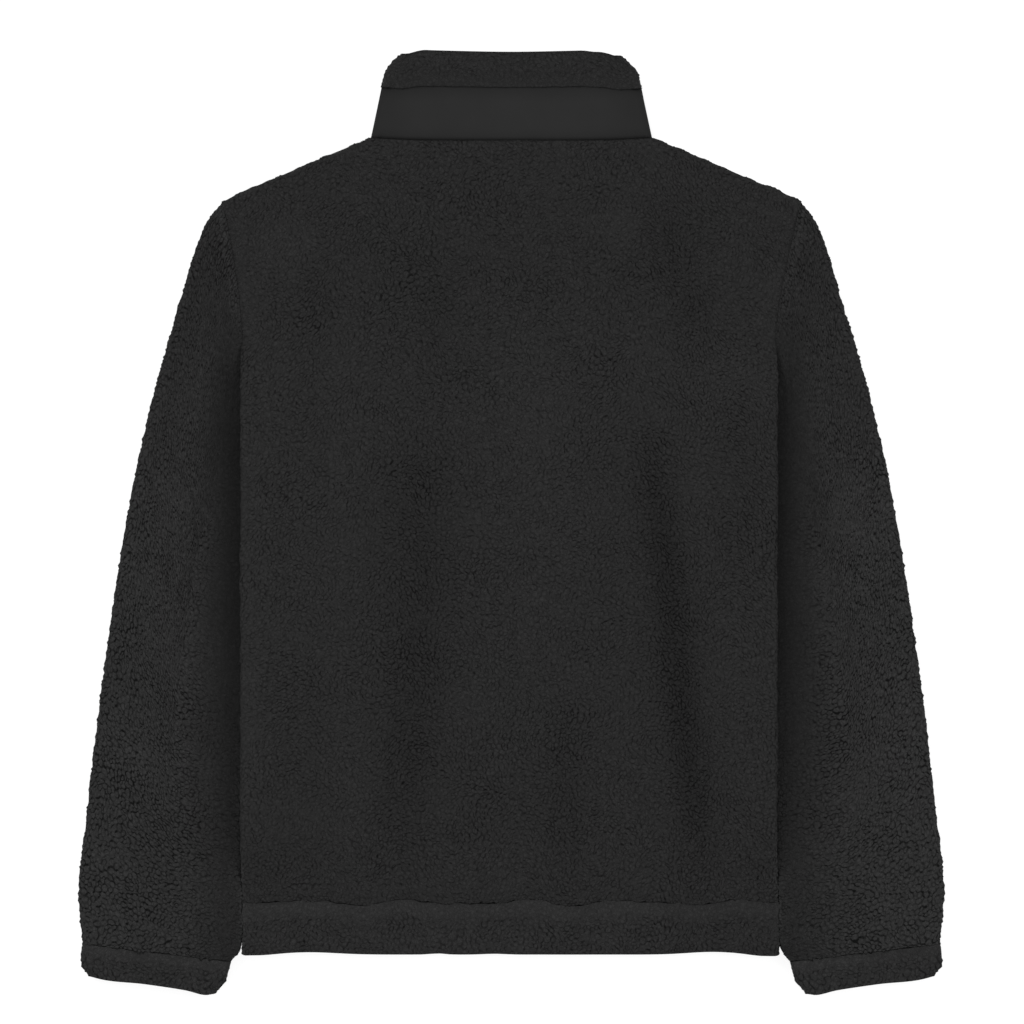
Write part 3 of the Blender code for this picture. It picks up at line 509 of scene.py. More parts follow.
def back_skins():
    half = fold_shares(SHOULDER_HALF)
    x, y = body_plan(np.concatenate((-half[:0:-1], half)), body_rows(), 0.0, back_top_y, 1.0)
    folds = MM * soft_bands(x, y, BACK_CREASES_MM)
    seams = puckers(x, y - hem_seam_y(x)) - dip(y - hem_seam_y(x))
    seams -= np.where(np.abs(x) < NECK_HALF, NECK_FILL * dip(back_top_y(x) - y), 0.0)
    seams -= np.where(y > ARMHOLE_END_Y - FOLD_TURN, ARMHOLE_FILL * dip(side_x(y) - np.abs(x)), 0.0)
    return body_skins(x, y, 1.0, folds, seams)


def front_skins(sign):
    out = sign * np.maximum(fold_shares(SHOULDER_HALF - FRONT_EDGE), 1e-9)
    x, y = body_plan(out, body_rows(), FRONT_EDGE, front_top_y, 0.0)
    flat = np.zeros_like(x)
    return body_skins(x, y, -1.0, flat, flat)


def mirrored(skins, sign):
    return [skin * np.array((sign, 1.0, 1.0)) for skin in skins]


def sleeve_relief(x, y):
    ridge = SEAM_RIDGE * np.exp(-(((x - side_x(y) - SEAM_RIDGE_OUT) / SEAM_RIDGE_WIDTH) ** 2))
    visible = smooth((y - MOUTH_CORNER_Y - SEAM_RIDGE_END) / SEAM_RIDGE_FADE)
    return MM * soft_bands(x, y, SLEEVE_CREASES_MM) + ridge * visible


def sleeve_skins():
    armhole_y = np.linspace(SHOULDER_TIP_Y, ARMHOLE_END_Y, ARMHOLE_POINTS)
    armhole = np.column_stack((side_x(armhole_y) + 4 * PRESSED, armhole_y))
    corner = np.array((MOUTH_CORNER_X, MOUTH_CORNER_Y))
    inner_start = np.array(INNER_FOLD_MM[0]) * MM
    opening = path(np.vstack((armhole, corner, inner_start)))
    cuff_seam = path(np.array((OUTER_FOLD_MM[-1], INNER_FOLD_MM[-1])) * MM)
    along = np.concatenate((np.linspace(0.0, SLEEVE_END, SLEEVE_END_RINGS),
                            np.linspace(SLEEVE_END, 1.0 - SLEEVE_END, SLEEVE_RINGS)[1:-1],
                            np.linspace(1.0 - SLEEVE_END, 1.0, SLEEVE_END_RINGS)))
    return tube_skins(spline(OUTER_FOLD_MM), spline(INNER_FOLD_MM), opening, cuff_seam, along,
                      np.linspace(0.0, 1.0, SLEEVE_COLUMNS)[1:-1], sleeve_relief)


def cuff_skins():
    top = path(np.array((CUFF_OUTER_MM[0], CUFF_INNER_MM[0])) * MM)
    edge = path(spline(CUFF_EDGE_MM)(np.linspace(0.0, 1.0, EDGE_POINTS)))
    return tube_skins(spline(CUFF_OUTER_MM), spline(CUFF_INNER_MM), top, edge,
                      np.linspace(0.0, 1.0, CUFF_RINGS), np.linspace(0.0, 1.0, CUFF_COLUMNS)[1:-1],
                      lambda x, y: np.zeros_like(x))


def hem_skins():
    def low_edge(x, layer):
        corner = HEM_CORNER - np.clip(CHEST_HALF - np.abs(x), 0.0, HEM_CORNER)
        swell = sum(lift * np.exp(-(((x / MM - at) / half_width) ** 2))
                    for at, half_width, lift in HEM_EDGE_SWELLS_MM)
        return HEM_EDGE_Y + swell * MM + HEM_CORNER - np.sqrt(np.maximum(HEM_CORNER**2 - corner**2, 0.0))

    def high_edge(x, layer):
        return mix(HEM_SEAM_Y, hem_seam_y(x), layer) - PRESSED

    def relief(x, y, row):
        below = hem_seam_y(x) - y
        return puckers(x, below) - dip(below) - dip(y - HEM_EDGE_Y)

    rows = np.linspace(0.0, 1.0, HEM_ROWS)
    return band_skins(lambda row: np.full_like(row, CHEST_HALF), low_edge, high_edge, rows, FOLD, WALL,
                      relief, SQUARE_FOLD)


def collar_half_width(share):
    """Half width of the collar at a share of its height, with its top corners rounded."""
    up = np.clip((share - COLLAR_CORNER_START) / (1.0 - COLLAR_CORNER_START), 0.0, 1.0)
    return mix(NECK_HALF, COLLAR_TOP_HALF, share) - COLLAR_CORNER_SIDE * up**2


def collar_y(x, layer, share):
    """Height on the collar, on its front half below and its back half above."""
    at_neck = np.minimum(np.abs(x) * NECK_HALF / mix(NECK_HALF, COLLAR_TOP_HALF, share), NECK_HALF - 1e-6)
    base = mix(front_top_y(at_neck), back_top_y(at_neck), layer)
    corner = COLLAR_CORNER_DROP * smooth((np.abs(x) - COLLAR_DROP_X) / COLLAR_DROP_WIDTH) * share
    at_right = COLLAR_RIGHT_DROP * smooth((x - COLLAR_RIGHT_X) / COLLAR_RIGHT_WIDTH)
    corner = corner + layer * share * (at_right + COLLAR_SAG * bell(x, COLLAR_SAG_WIDTH))
    return base + PRESSED + COLLAR_HEIGHT * share - corner


def collar_skins(low, high, fold, wall, relief):
    return band_skins(lambda row: collar_half_width(mix(low, high, row)),
                      lambda x, layer: collar_y(x, layer, low), lambda x, layer: collar_y(x, layer, high),
                      np.linspace(0.0, 1.0, COLLAR_ROWS), fold, wall, relief)


def stand_skins():
    def relief(x, y, row):
        at_top = STAND_TOP_DIP * STAND_DIP * (1.0 - smooth((1.0 - row) / STAND_TOP_SHARE))
        return -STAND_DIP * (1.0 - smooth(row / STAND_DIP_SHARE)) - at_top

    return collar_skins(0.0, STAND_SHARE, BAND_FOLD, BAND_WALL, relief)


def roll_skins():
    def relief(x, y, row):
        at_seam = ROLL_SEAM_DIP * (1.0 - smooth(row / ROLL_SEAM_SHARE))
        return -at_seam - ROLL_DIP * (1.0 - smooth((1.0 - row) / ROLL_DIP_SHARE))

    return collar_skins(STAND_SHARE + PRESSED / COLLAR_HEIGHT, 1.0, FOLD, WALL, relief)


# --- Meshes -------------------------------------------------------------------------------------

def lean(points):
    """Moves what lies round the body's right side, all of it together."""
    x, y = points[:, 0], points[:, 1]
    across = rise(x, *LEAN_INNER) * (1.0 - rise(x, *LEAN_OUTER))
    along = rise(y, *LEAN_LOW, LEAN_HEM, LEAN) * (1.0 - rise(y, *LEAN_HIGH))
    return points - (across * along)[:, None] * (1.0, 0.0, 0.0)


class Cloth:
    """Outer and inner skin of a wall, read at places on a flat chart that keeps angles.

    u on the chart is the share of the way across, times the mean width, and v runs down it.
    """

    def __init__(self, skins, ring):
        self.ring = ring
        if ring:
            skins = [np.concatenate((skin, skin[:, :1]), axis=1) for skin in skins]
        self.outer, self.inner = skins
        steps = np.linalg.norm(np.diff(self.outer, axis=1), axis=2)
        self.widths = steps.sum(axis=1)
        self.width = self.widths.mean()
        shares = np.concatenate((np.zeros((len(steps), 1)), np.cumsum(steps, axis=1)), axis=1)
        shares /= self.widths[:, None]
        self.keys = (shares + 2.0 * np.arange(len(shares))[:, None]).ravel()
        down = np.linalg.norm(np.diff(self.outer, axis=0), axis=2).mean(axis=1)
        stretch = self.width / (0.5 * (self.widths[1:] + self.widths[:-1]))
        self.v = running(down * stretch)
        self.length = self.v[-1]

        across = np.gradient(self.outer, axis=1)
        if ring:
            across[:, 0] = across[:, -1] = self.outer[:, 1] - self.outer[:, -2]
        normals = unit(np.cross(across, np.gradient(self.outer, axis=0)))
        self.turn = 1.0 if np.sum(normals * (self.outer - self.inner)) > 0 else -1.0
        self.normals = normals * self.turn

    def width_at(self, v):
        return np.interp(v, self.v, self.widths)

    def read(self, grid, uv):
        share = uv[:, 0] / self.width
        share = share % 1.0 if self.ring else np.clip(share, 0.0, 1.0)
        columns = grid.shape[1]
        row = np.clip(np.searchsorted(self.v, uv[:, 1], side="right") - 1, 0, len(self.v) - 2)
        flat = grid.reshape(-1, 3)
        lines = []
        for line in (row, row + 1):
            wanted = share + 2.0 * line
            place = np.searchsorted(self.keys, wanted, side="right") - 1
            place = np.clip(place, line * columns, line * columns + columns - 2)
            s = (wanted - self.keys[place]) / np.maximum(self.keys[place + 1] - self.keys[place], 1e-12)
            lines.append(mix(flat[place], flat[place + 1], s[:, None]))
        t = ((uv[:, 1] - self.v[row]) / (self.v[row + 1] - self.v[row]))[:, None]
        return mix(*lines, t)


def clouds(x, y, size, seed):
    """Smooth uneven field between about -1 and 1, with patches of about that size."""
    random = np.random.default_rng(seed)
    total = np.zeros_like(x)
    for _ in range(CLOUD_WAVES):
        angle, turn = random.uniform(0.0, 2 * math.pi, 2)
        length = size * random.uniform(1.2, 3.0)
        total += np.cos(2 * math.pi * (x * math.cos(angle) + y * math.sin(angle)) / length + turn)
    return total / (CLOUD_WAVES / 2)


def border(cloth, spacing, random):
    """Points along the open edges, as closed loops that keep the cloth on their left."""
    width, length = cloth.width, cloth.length

    def run(start, end):
        line = np.linspace(start, end, BORDER_SAMPLES)
        scale = cloth.width_at(line[1:, 1]) / width
        travel = running(np.linalg.norm(np.diff(line, axis=0), axis=1) * scale)
        count = max(2, round(travel[-1] / spacing))
        shares = np.arange(count, dtype=float)
        shares[1:] += random.uniform(-0.2, 0.2, count - 1)
        at = np.interp(shares / count * travel[-1], travel, np.linspace(0.0, 1.0, BORDER_SAMPLES))[:, None]
        return np.array(start) + at * np.subtract(end, start)

    if cloth.ring:
        return [run((0.0, 0.0), (width, 0.0)), run((width, length), (0.0, length))]
    corners = ((0.0, 0.0), (width, 0.0), (width, length), (0.0, length))
    return [np.vstack([run(start, end) for start, end in zip(corners, (*corners[1:], corners[0]))])]


def wandering(x, y):
    """Angle of the nap where nothing combs it."""
    return math.pi * clouds(x, y, 60 * MM, 71)


def across_sleeve(x, y):
    """Angle of the nap on a sleeve."""
    return 0.15 * np.sign(-x) + 0.7 * clouds(x, y, 40 * MM, 73)


def swirl(uv, cloth, random):
    """Bends rows of points in curls, without crowding them."""
    moved = np.zeros_like(uv)
    for _ in range(SWIRLS):
        angle, start = random.uniform(0.0, 2 * math.pi, 2)
        number = 2 * math.pi / random.uniform(*SWIRL_LENGTHS)
        across, down = number * math.cos(angle), number * math.sin(angle)
        if cloth.ring:
            across = round(across * cloth.width / (2 * math.pi)) * 2 * math.pi / cloth.width
        wave = SWIRL_SHEAR / (across**2 + down**2) * np.sin(uv[:, 0] * across + uv[:, 1] * down + start)
        moved += wave[:, None] * (-down, across)
    return moved


def scatter(cloth, spacing, gone, random):
    """Uneven rows of points inside the cloth, set as closely on its narrow parts as on its wide ones."""
    rows, v = [], 0.0
    while True:
        v += ROW_HEIGHT * spacing * cloth.width / cloth.width_at(v)
        here = spacing * cloth.width / cloth.width_at(v)
        if v > cloth.length - 0.5 * here:
            break
        places = (np.arange(round(cloth.width / here)) + 0.25 + 0.5 * (len(rows) % 2)) * here
        jitter = random.uniform(-LOCK_JITTER, LOCK_JITTER, (len(places), 2)) * here
        rows.append(np.column_stack((places, np.full(len(places), v))) + jitter)
    uv = np.vstack(rows)
    here = spacing * cloth.width / cloth.width_at(uv[:, 1])

    def room():
        sides = (1,) if cloth.ring else (1, 0)
        spans = cloth.width, cloth.length
        return np.min([np.minimum(uv[:, axis], spans[axis] - uv[:, axis]) for axis in sides], axis=0) / here

    uv += swirl(uv, cloth, random) * np.clip(room() / 2 - 0.2, 0.0, 1.0)[:, None]
    keep = (random.random(len(uv)) > gone) & (room() > 0.4)
    if cloth.ring:
        uv[:, 0] %= cloth.width
    return uv[keep]


def triangulate(points, cloth):
    """Delaunay triangles as point numbers, with their corners laid out side by side."""
    width = cloth.width
    numbers = np.arange(len(points))
    if cloth.ring:
        shifts = [(shift, np.abs(points[:, 0] + shift * width - width / 2) < 0.75 * width)
                  for shift in (-1, 0, 1)]
        laid = np.vstack([points[near] + (shift * width, 0.0) for shift, near in shifts])
        numbers = np.concatenate([numbers[near] for _, near in shifts])
    else:
        laid = points
    made = delaunay_2d_cdt([Vector(point) for point in laid.tolist()], [], [], 0, 1e-9)
    origin = np.array([source[0] for source in made[3]])
    faces = origin[np.array(made[2])]
    corners = laid[faces]
    one, two = corners[:, 1] - corners[:, 0], corners[:, 2] - corners[:, 0]
    area = one[:, 0] * two[:, 1] - one[:, 1] * two[:, 0]
    faces[area < 0] = faces[area < 0][:, ::-1]
    faces = faces[np.abs(area) > 1e-12]
    corners = laid[faces]
    if cloth.ring:
        middle = corners[:, :, 0].mean(axis=1)
        faces, corners = faces[(middle >= 0) & (middle < width)], corners[(middle >= 0) & (middle < width)]
    return numbers[faces], corners


def lock_cells(points, loops, cloth):
    """Cell of each lock of pile: its corners' vertex numbers and its centre.

    Vertices are the triangles' middles, then the border's points and the middles between them.
    """
    faces, corners = triangulate(points, cloth)
    middles = corners.mean(axis=1)
    around = [[] for _ in points]
    angles = np.arctan2(*np.moveaxis(middles[:, None] - corners, -1, 0)[::-1])
    for number, (face, turned) in enumerate(zip(faces.tolist(), angles.tolist())):
        for corner in range(3):
            around[face[corner]].append((turned[corner], number, face[(corner + 1) % 3], face[corner - 1]))
    vertices, halfway, border_loops = [middles], {}, []
    count = len(middles)
    for loop in loops:
        numbers = []
        for place, this in enumerate(loop):
            following = loop[(place + 1) % len(loop)]
            step = points[following] - points[this]
            if cloth.ring:
                step[0] = (step[0] + cloth.width / 2) % cloth.width - cloth.width / 2
            vertices.append((points[this], points[this] + step / 2))
            halfway[this, following] = halfway[following, this] = count + 1
            halfway[this] = count
            numbers += (count, count + 1)
            count += 2
        border_loops.append(numbers)
    cells = []
    for number, spokes in enumerate(around):
        spokes.sort()
        if number in halfway:
            gaps = [(spokes[place][0] - spokes[place - 1][0]) % (2 * math.pi) for place in range(len(spokes))]
            start = int(np.argmax(gaps)) if len(spokes) > 1 else 0
            spokes = spokes[start:] + spokes[:start]
            cells.append([halfway[number], halfway[number, spokes[0][2]], *(spoke[1] for spoke in spokes),
                          halfway[number, spokes[-1][3]]])
        else:
            cells.append([spoke[1] for spoke in spokes])
    return np.vstack(vertices), cells, border_loops


def wall_mesh(name, cloth, uv, heights, faces, border_loops, random, reach=0.0):
    """Closed wall from an outer skin's faces, a rim along its border and a plain inner side."""
    outer = cloth.read(cloth.outer, uv) + cloth.read(cloth.normals, uv) * heights[:, None]
    outer[:, 2] = np.maximum(outer[:, 2], 0.0)
    rim = np.concatenate([np.array(loop) for loop in border_loops])
    at_rim = uv[rim]
    end = np.sign(at_rim[:, 1] - cloth.length / 2)[:, None] * (0.0, 1.0)
    outward = unit(cloth.read(cloth.outer, at_rim) - cloth.read(cloth.outer, at_rim - end * MM))
    outer[rim] += (outward + (0.0, 0.0, FRINGE_LIFT)) * np.broadcast_to(reach, rim.shape)[:, None]
    inside = scatter(cloth, min(LINING_SPACING, cloth.length / 5), 0.0, random)
    inner_uv = np.vstack((uv[rim], inside))
    if cloth.ring:
        inner_uv[:, 0] %= cloth.width
    inner_faces, _ = triangulate(inner_uv, cloth)
    inner = cloth.read(cloth.inner, inner_uv)
    offset = len(outer)
    all_faces = [*faces, *(inner_faces[:, ::-1] + offset).tolist()]
    for loop in border_loops:
        for place, this in enumerate(loop):
            following = (place + 1) % len(loop)
            all_faces.append([loop[following], this, offset + place, offset + following])
        offset += len(loop)
    if cloth.turn < 0:
        all_faces = [face[::-1] for face in all_faces]
    mesh = plain_mesh(name, lean(np.vstack((outer, inner))).tolist(), all_faces)
    soft = np.ones(len(all_faces), dtype=bool)
    soft[len(faces) + len(inner_faces):] = False
    mesh.polygons.foreach_set("use_smooth", soft)
    return mesh


def paint(mesh, name, domain, values):
    """Stores a value for each vertex or face, for the cloth's material; the rest get their mean."""
    layer = mesh.attributes.new(name, "FLOAT", domain)
    full = np.full(len(layer.data), np.mean(values), dtype=np.float32)
    full[:len(values)] = values
    layer.data.foreach_set("value", full)


def crack_depths(place, start, end, strength, flow, random):
    """Depth of the crack along each cell's side: deepest along the nap, nearly closed across it."""
    pairs = np.sort(np.stack((start, end), axis=-1), axis=1)
    pairs, number = np.unique(pairs, axis=0, return_inverse=True)
    one, two = place[pairs[:, 0]], place[pairs[:, 1]]
    middle = 0.5 * (one + two)
    turn = np.arctan2(two[:, 1] - one[:, 1], two[:, 0] - one[:, 0]) - flow(middle[:, 0], middle[:, 1])
    along = np.cos(turn) ** 2
    nap = CRACK_ACROSS + CRACK_ALONG * along
    return (strength(*middle.T) * nap * random.uniform(*CRACK_SPREAD, len(pairs)))[number.ravel()]


def add_pile(name, skins, ring, seed, spacing, strength, flow, nap, rim, fringe=None):
    """Pile cloth on a wall: each lock is a tuft that stands up from the cracks round it.

    strength, nap, rim and fringe take x, y and z, and give how deep the cracks are, how bright the
    pile is painted (its tone with painted light and painted shade), how open the seams at the edges
    are and how far locks hang over them; cracks and open seams are also painted dark as shade. flow
    takes x and y, and gives the nap's angle.
    """
    cloth = Cloth(skins, ring)
    random = np.random.default_rng(seed)
    loops_uv = border(cloth, spacing, random)
    points = np.vstack((*loops_uv, scatter(cloth, spacing, LOCKS_GONE, random)))
    loops, start = [], 0
    for loop in loops_uv:
        loops.append(list(range(start, start + len(loop))))
        start += len(loop)
    corners, cells, border_loops = lock_cells(points, loops, cloth)

    width = cloth.width
    sizes = np.array([len(cell) for cell in cells])
    starts = np.concatenate(([0], np.cumsum(sizes)[:-1]))
    owner = np.repeat(np.arange(len(cells)), sizes)
    corner = np.concatenate(cells)
    step = corners[corner] - points[owner]
    if ring:
        step[:, 0] = (step[:, 0] + width / 2) % width - width / 2
    middles = points + np.add.reduceat(step, starts, axis=0) / sizes[:, None]

    uv = np.vstack((corners, middles))
    place = cloth.read(cloth.outer, uv)
    facing = cloth.read(cloth.normals, uv)[:, 2]
    count = len(corners)
    following = np.concatenate([np.roll(cell, -1) for cell in cells])
    crack = crack_depths(place, corner, following, strength, flow, random)
    rims = np.concatenate([np.array(loop) for loop in border_loops])
    on_rim = np.isin(corner, rims) & np.isin(following, rims)
    at_rim = 0.5 * (place[corner] + place[following])
    uneven = 0.9 + 0.5 * clouds(*at_rim[:, :2].T, 6 * MM, seed + 50)
    crack = np.clip(np.where(on_rim, rim(*at_rim.T) * uneven, crack), *CRACK_RANGE)

    deep = np.bincount(corner, crack, count) / np.maximum(np.bincount(corner, minlength=count), 1)
    deep[rims] = rim(*place[rims].T) * random.uniform(*RIM_SPREAD, len(rims))
    side = 1.0 - np.abs(facing)
    proud = EDGE_BULGE * side * np.clip(EDGE_LEVEL + EDGE_SLOPE * facing, -EDGE_PULL, EDGE_MOST)
    heights = np.concatenate((-CRACK_DEPTH * deep, -TOP_SPREAD * random.random(len(cells))))
    heights[:count] *= 1.0 - EDGE_SHALLOW * side[:count]
    heights[:count] += EDGE_CRACKS * proud[:count]
    heights[rims] += EDGE_RIM * proud[rims]
    heights[count:] += proud[count:] * random.uniform(*EDGE_LOCKS, len(cells))
    wobble = EDGE_WOBBLE * clouds(place[:, 0], place[:, 1], EDGE_WOBBLE_SIZE, seed + 60)
    heights += side * (facing > 0) * wobble
    reach = 0.0
    if fringe:
        reach = fringe(*place[rims].T) * np.repeat(random.uniform(*FRINGE_SPREAD, len(rims) // 2), 2)
        reach[1::2] *= FRINGE_NOTCH

    faces = np.stack((count + owner, corner, following), axis=-1).tolist()
    mesh = wall_mesh(name, cloth, uv, heights, faces, border_loops, random, reach)
    # parting and crack also set how dark the cracks are painted, as shade
    paint(mesh, "parting", "POINT", np.concatenate((np.ones(count), np.zeros(len(cells)))))
    paint(mesh, "crack", "FACE", crack)
    # nap: the pile's tone, with painted light and painted shade
    tone = nap(*place.T)
    tone[count:] *= random.uniform(*TONE_SPREAD, len(cells))
    paint(mesh, "nap", "POINT", tone)
    return mesh


def plain_mesh(name, points, faces):
    mesh = bpy.data.meshes.new(name)
    mesh.from_pydata(points, [], faces)
    return mesh


def extrude(profile, ys, scales, start=0):
    """Closed prism along Y: the profile's ring at each y, scaled about its middle. Gives points and faces."""
    profile, middle = np.asarray(profile), np.mean(profile, axis=0)
    points, count = [], len(profile)
    for y, scale in zip(ys, scales):
        ring = middle + (profile - middle) * scale
        points += [(x, y, z) for x, z in ring]
    faces = [[start + row * count + place, start + row * count + (place + 1) % count,
              start + (row + 1) * count + (place + 1) % count, start + (row + 1) * count + place]
             for row in range(len(ys) - 1) for place in range(count)]
    faces += [[start + place for place in range(count)][::-1],
              [start + (len(ys) - 1) * count + place for place in range(count)]]
    return points, faces


def add_tape(name, node):
    """Woven tape with a bead along its edge at the teeth, in its solid's place."""
    low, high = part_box(node)
    middle, thin = (low[2] + high[2]) / 2, TAPE_THIN
    inner, outer = sorted((low[0], high[0]), key=abs)
    toward = math.copysign(1.0, outer - inner)
    radius = (high[2] - low[2]) / 2
    bead = [(inner + toward * (radius + radius * math.cos(angle)), middle + radius * math.sin(angle))
            for angle in BEAD_ANGLES]
    neck = inner + toward * BEAD_WIDTH * radius
    profile = [*bead, (neck, middle - thin / 2), (outer, middle - thin / 2), (outer, middle + thin / 2),
               (neck, middle + thin / 2)]
    if toward > 0:
        profile = profile[::-1]
    ys = np.linspace(low[1], high[1], 120)
    points, faces = extrude(profile, ys, np.ones(len(ys)))
    return plain_mesh(name, points, faces)


def add_teeth(name, node, pitch):
    """Moulded teeth, left and right in turn, hooked into each other as in a closed zip."""
    low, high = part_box(node)
    middle, tall = (low[2] + high[2]) / 2, (high[2] - low[2]) / 2
    points, faces = [], []
    count = int((high[1] - low[1] - pitch) / (pitch / 2))
    for number in range(count):
        sign = 1.0 if number % 2 else -1.0
        y = low[1] + (number + 1.0) * pitch / 2
        ring = [(sign * across * high[0], middle + up * tall) for across, up in TOOTH_OUTLINE]
        ring += [(sign * across * high[0], middle - up * tall) for across, up in TOOTH_OUTLINE[::-1]]
        if sign > 0:
            ring = ring[::-1]
        half = TOOTH_HALF * pitch
        flat = TOOTH_FLAT * half
        more, sides = extrude(ring, (y - half, y - flat, y + flat, y + half),
                              (TOOTH_END, 1.0, 1.0, TOOTH_END), len(points))
        points += more
        faces += sides
    return plain_mesh(name, points, faces)


def add_plain(name, skins, ring, nap):
    """Smooth cloth on a wall."""
    cloth = Cloth(skins, ring)
    rows, columns = cloth.outer.shape[:2]
    shares = cloth.keys.reshape(rows, columns) - 2.0 * np.arange(rows)[:, None]
    uv = np.stack((shares * cloth.width, np.broadcast_to(cloth.v[:, None], shares.shape)), axis=-1)
    number = np.arange(rows * columns).reshape(rows, columns)
    faces = np.stack((number[:-1, :-1], number[:-1, 1:], number[1:, 1:], number[1:, :-1]), axis=-1)
    loop = np.concatenate((number[0, :-1], number[:-1, -1], number[-1, :0:-1], number[:0:-1, 0]))
    mesh = wall_mesh(name, cloth, uv.reshape(-1, 2), np.zeros(rows * columns),
                     faces.reshape(-1, 4).tolist(), [loop.tolist()], np.random.default_rng(5))
    paint(mesh, "nap", "POINT", nap(*cloth.outer.reshape(-1, 3).T))
    return mesh


# --- Materials ----------------------------------------------------------------------------------

def linear(hex_colour):
    """sRGB hex colour as linear RGBA."""
    channels = [int(hex_colour[place:place + 2], 16) / 255 for place in (1, 3, 5)]
    return (*(c / 12.92 if c <= 0.04045 else ((c + 0.055) / 1.055) ** 2.4 for c in channels), 1.0)


def connect(tree, node, **sockets):
    """Sets or links a node's inputs. Underscores stand for spaces, _0 is the first input, and a node
    stands for its first output."""
    for key, value in sockets.items():
        socket = node.inputs[int(key[1:]) if key[1:].isdigit() else key.replace("_", " ")]
        value = value.outputs[0] if isinstance(value, bpy.types.Node) else value
        if isinstance(value, bpy.types.NodeSocket):
            tree.links.new(value, socket)
        else:
            socket.default_value = value
    return node


def add_node(tree, kind, settings=None, **sockets):
    """Node with its settings, and its inputs set or linked."""
    node = tree.nodes.new("ShaderNode" + kind)
    for key, value in (settings or {}).items():
        setattr(node, key, value)
    return connect(tree, node, **sockets)


def add_math(tree, operation, *values, **settings):
    numbered = {"_%d" % number: value for number, value in enumerate(values)}
    return add_node(tree, "Math", {"operation": operation, **settings}, **numbered)


def add_range(tree, value, to, of=(0.3, 0.7), kind="LINEAR"):
    """Turns one span of values into another; most of a noise's values lie between 0.3 and 0.7."""
    return add_node(tree, "MapRange", {"interpolation_type": kind}, Value=value, From_Min=of[0],
                    From_Max=of[1], To_Min=to[0], To_Max=to[1])


def add_noise(tree, place, size_mm, **sockets):
    return add_node(tree, "TexNoise", Vector=place, Scale=1000 / size_mm, **sockets)


def add_bump(tree, height, strength, depth_mm):
    return add_node(tree, "Bump", Strength=strength, Distance=depth_mm * MM, Height=height)


def shaded(tree, hex_colour, shade):
    return add_node(tree, "VectorMath", {"operation": "SCALE"}, _0=linear(hex_colour)[:3], Scale=shade)


def read_paint(tree, name):
    return add_node(tree, "Attribute", {"attribute_name": name}).outputs["Fac"]


def new_material(name):
    material = bpy.data.materials.new(name)
    material.use_nodes = True
    tree = material.node_tree
    return material, tree, tree.nodes["Principled BSDF"]


def places(tree):
    """Places on the piece, in metres."""
    return add_node(tree, "TexCoord").outputs["Object"]


CURL_MM = 2.7       # curls that bend the cracks and catch the light
CURL_BEND = 3.0 * MM
STRAND_MM = 3.4     # finer cracks between the strands of a lock
FIBRE_MM = 1.0      # crimped fibre ends, drawn coarser than the real 0.05 mm so that they show
TWILL_MM = 1.1      # from one diagonal of the twill to the next
RIB_MM, HERRINGBONE_MM = 0.9, 1.3


def pile_material(style):
    """Polyester sherpa, knitted and tumbled into curls: fully matt, with soft cracks painted dark as shade
    between the locks and strands, and painted light on the curls.
    """
    material, tree, shader = new_material("polyester_sherpa_pile")
    place = places(tree)
    parting, crack, nap = (read_paint(tree, name) for name in ("parting", "crack", "nap"))
    curls = add_noise(tree, place, CURL_MM, Detail=1.0)
    fibres = add_noise(tree, place, FIBRE_MM, Detail=2.0, Roughness=0.6)
    edge = add_math(tree, "MULTIPLY_ADD", curls, 0.9, parting)
    groove = add_range(tree, edge, (0.0, 1.0), (0.95, 1.45), "SMOOTHSTEP")
    bent = add_node(tree, "VectorMath", {"operation": "MULTIPLY_ADD"}, _0=curls.outputs["Color"],
                    _1=(CURL_BEND,) * 3, _2=place)
    strands = add_node(tree, "TexVoronoi", {"feature": "DISTANCE_TO_EDGE"}, Vector=bent,
                       Scale=1000 / STRAND_MM)
    between = add_range(tree, strands.outputs["Distance"], (0.3, 0.0), (0.0, 0.2), "SMOOTHSTEP")
    parted = add_math(tree, "MULTIPLY", groove, crack)
    dark = add_math(tree, "MAXIMUM", between, parted, use_clamp=True)
    grain = add_range(tree, fibres, (0.88, 1.12))
    # Painted light: the curls are painted lighter on their tops and darker towards the cracks
    swell = add_range(tree, curls, (1.11, 0.89))
    # nap brings the pile's tone with painted light and painted shade; grain is the fibres' own tone
    shade = add_math(tree, "MULTIPLY", add_math(tree, "MULTIPLY", grain, nap), swell)
    # Painted shade: cracks between locks (parted) and between strands (between) are mixed towards
    # crack_shade_colour
    colour = add_node(tree, "Mix", {"data_type": "RGBA"}, Factor=dark,
                      _6=shaded(tree, style.pile_colour, shade), _7=linear(style.crack_shade_colour))
    low = add_math(tree, "MULTIPLY_ADD", dark, -1.0, fibres)
    connect(tree, shader, Base_Color=colour.outputs[2], Roughness=0.95, Specular_IOR_Level=0.1,
            Normal=add_bump(tree, low, 0.8, 0.7))
    return material


def woven_material(style):
    """Brushed polyester twill, woven: smooth and matt, its diagonal only just seen."""
    material, tree, shader = new_material("polyester_twill_weave")
    place = places(tree)
    twill = add_node(tree, "TexWave", {"bands_direction": "DIAGONAL"}, Vector=place,
                     Scale=1000 / (2 * math.pi * TWILL_MM), Distortion=0.4, Detail=1.0)
    tone = add_range(tree, add_noise(tree, place, 30.0, Detail=2.0), (0.97, 1.04))
    # nap carries the stand's painted shade towards its borders
    shade = add_math(tree, "MULTIPLY", tone, read_paint(tree, "nap"))
    connect(tree, shader, Base_Color=shaded(tree, style.weave_colour, shade), Roughness=0.95,
            Specular_IOR_Level=0.12, Normal=add_bump(tree, twill.outputs["Fac"], 0.15, 0.3))
    return material


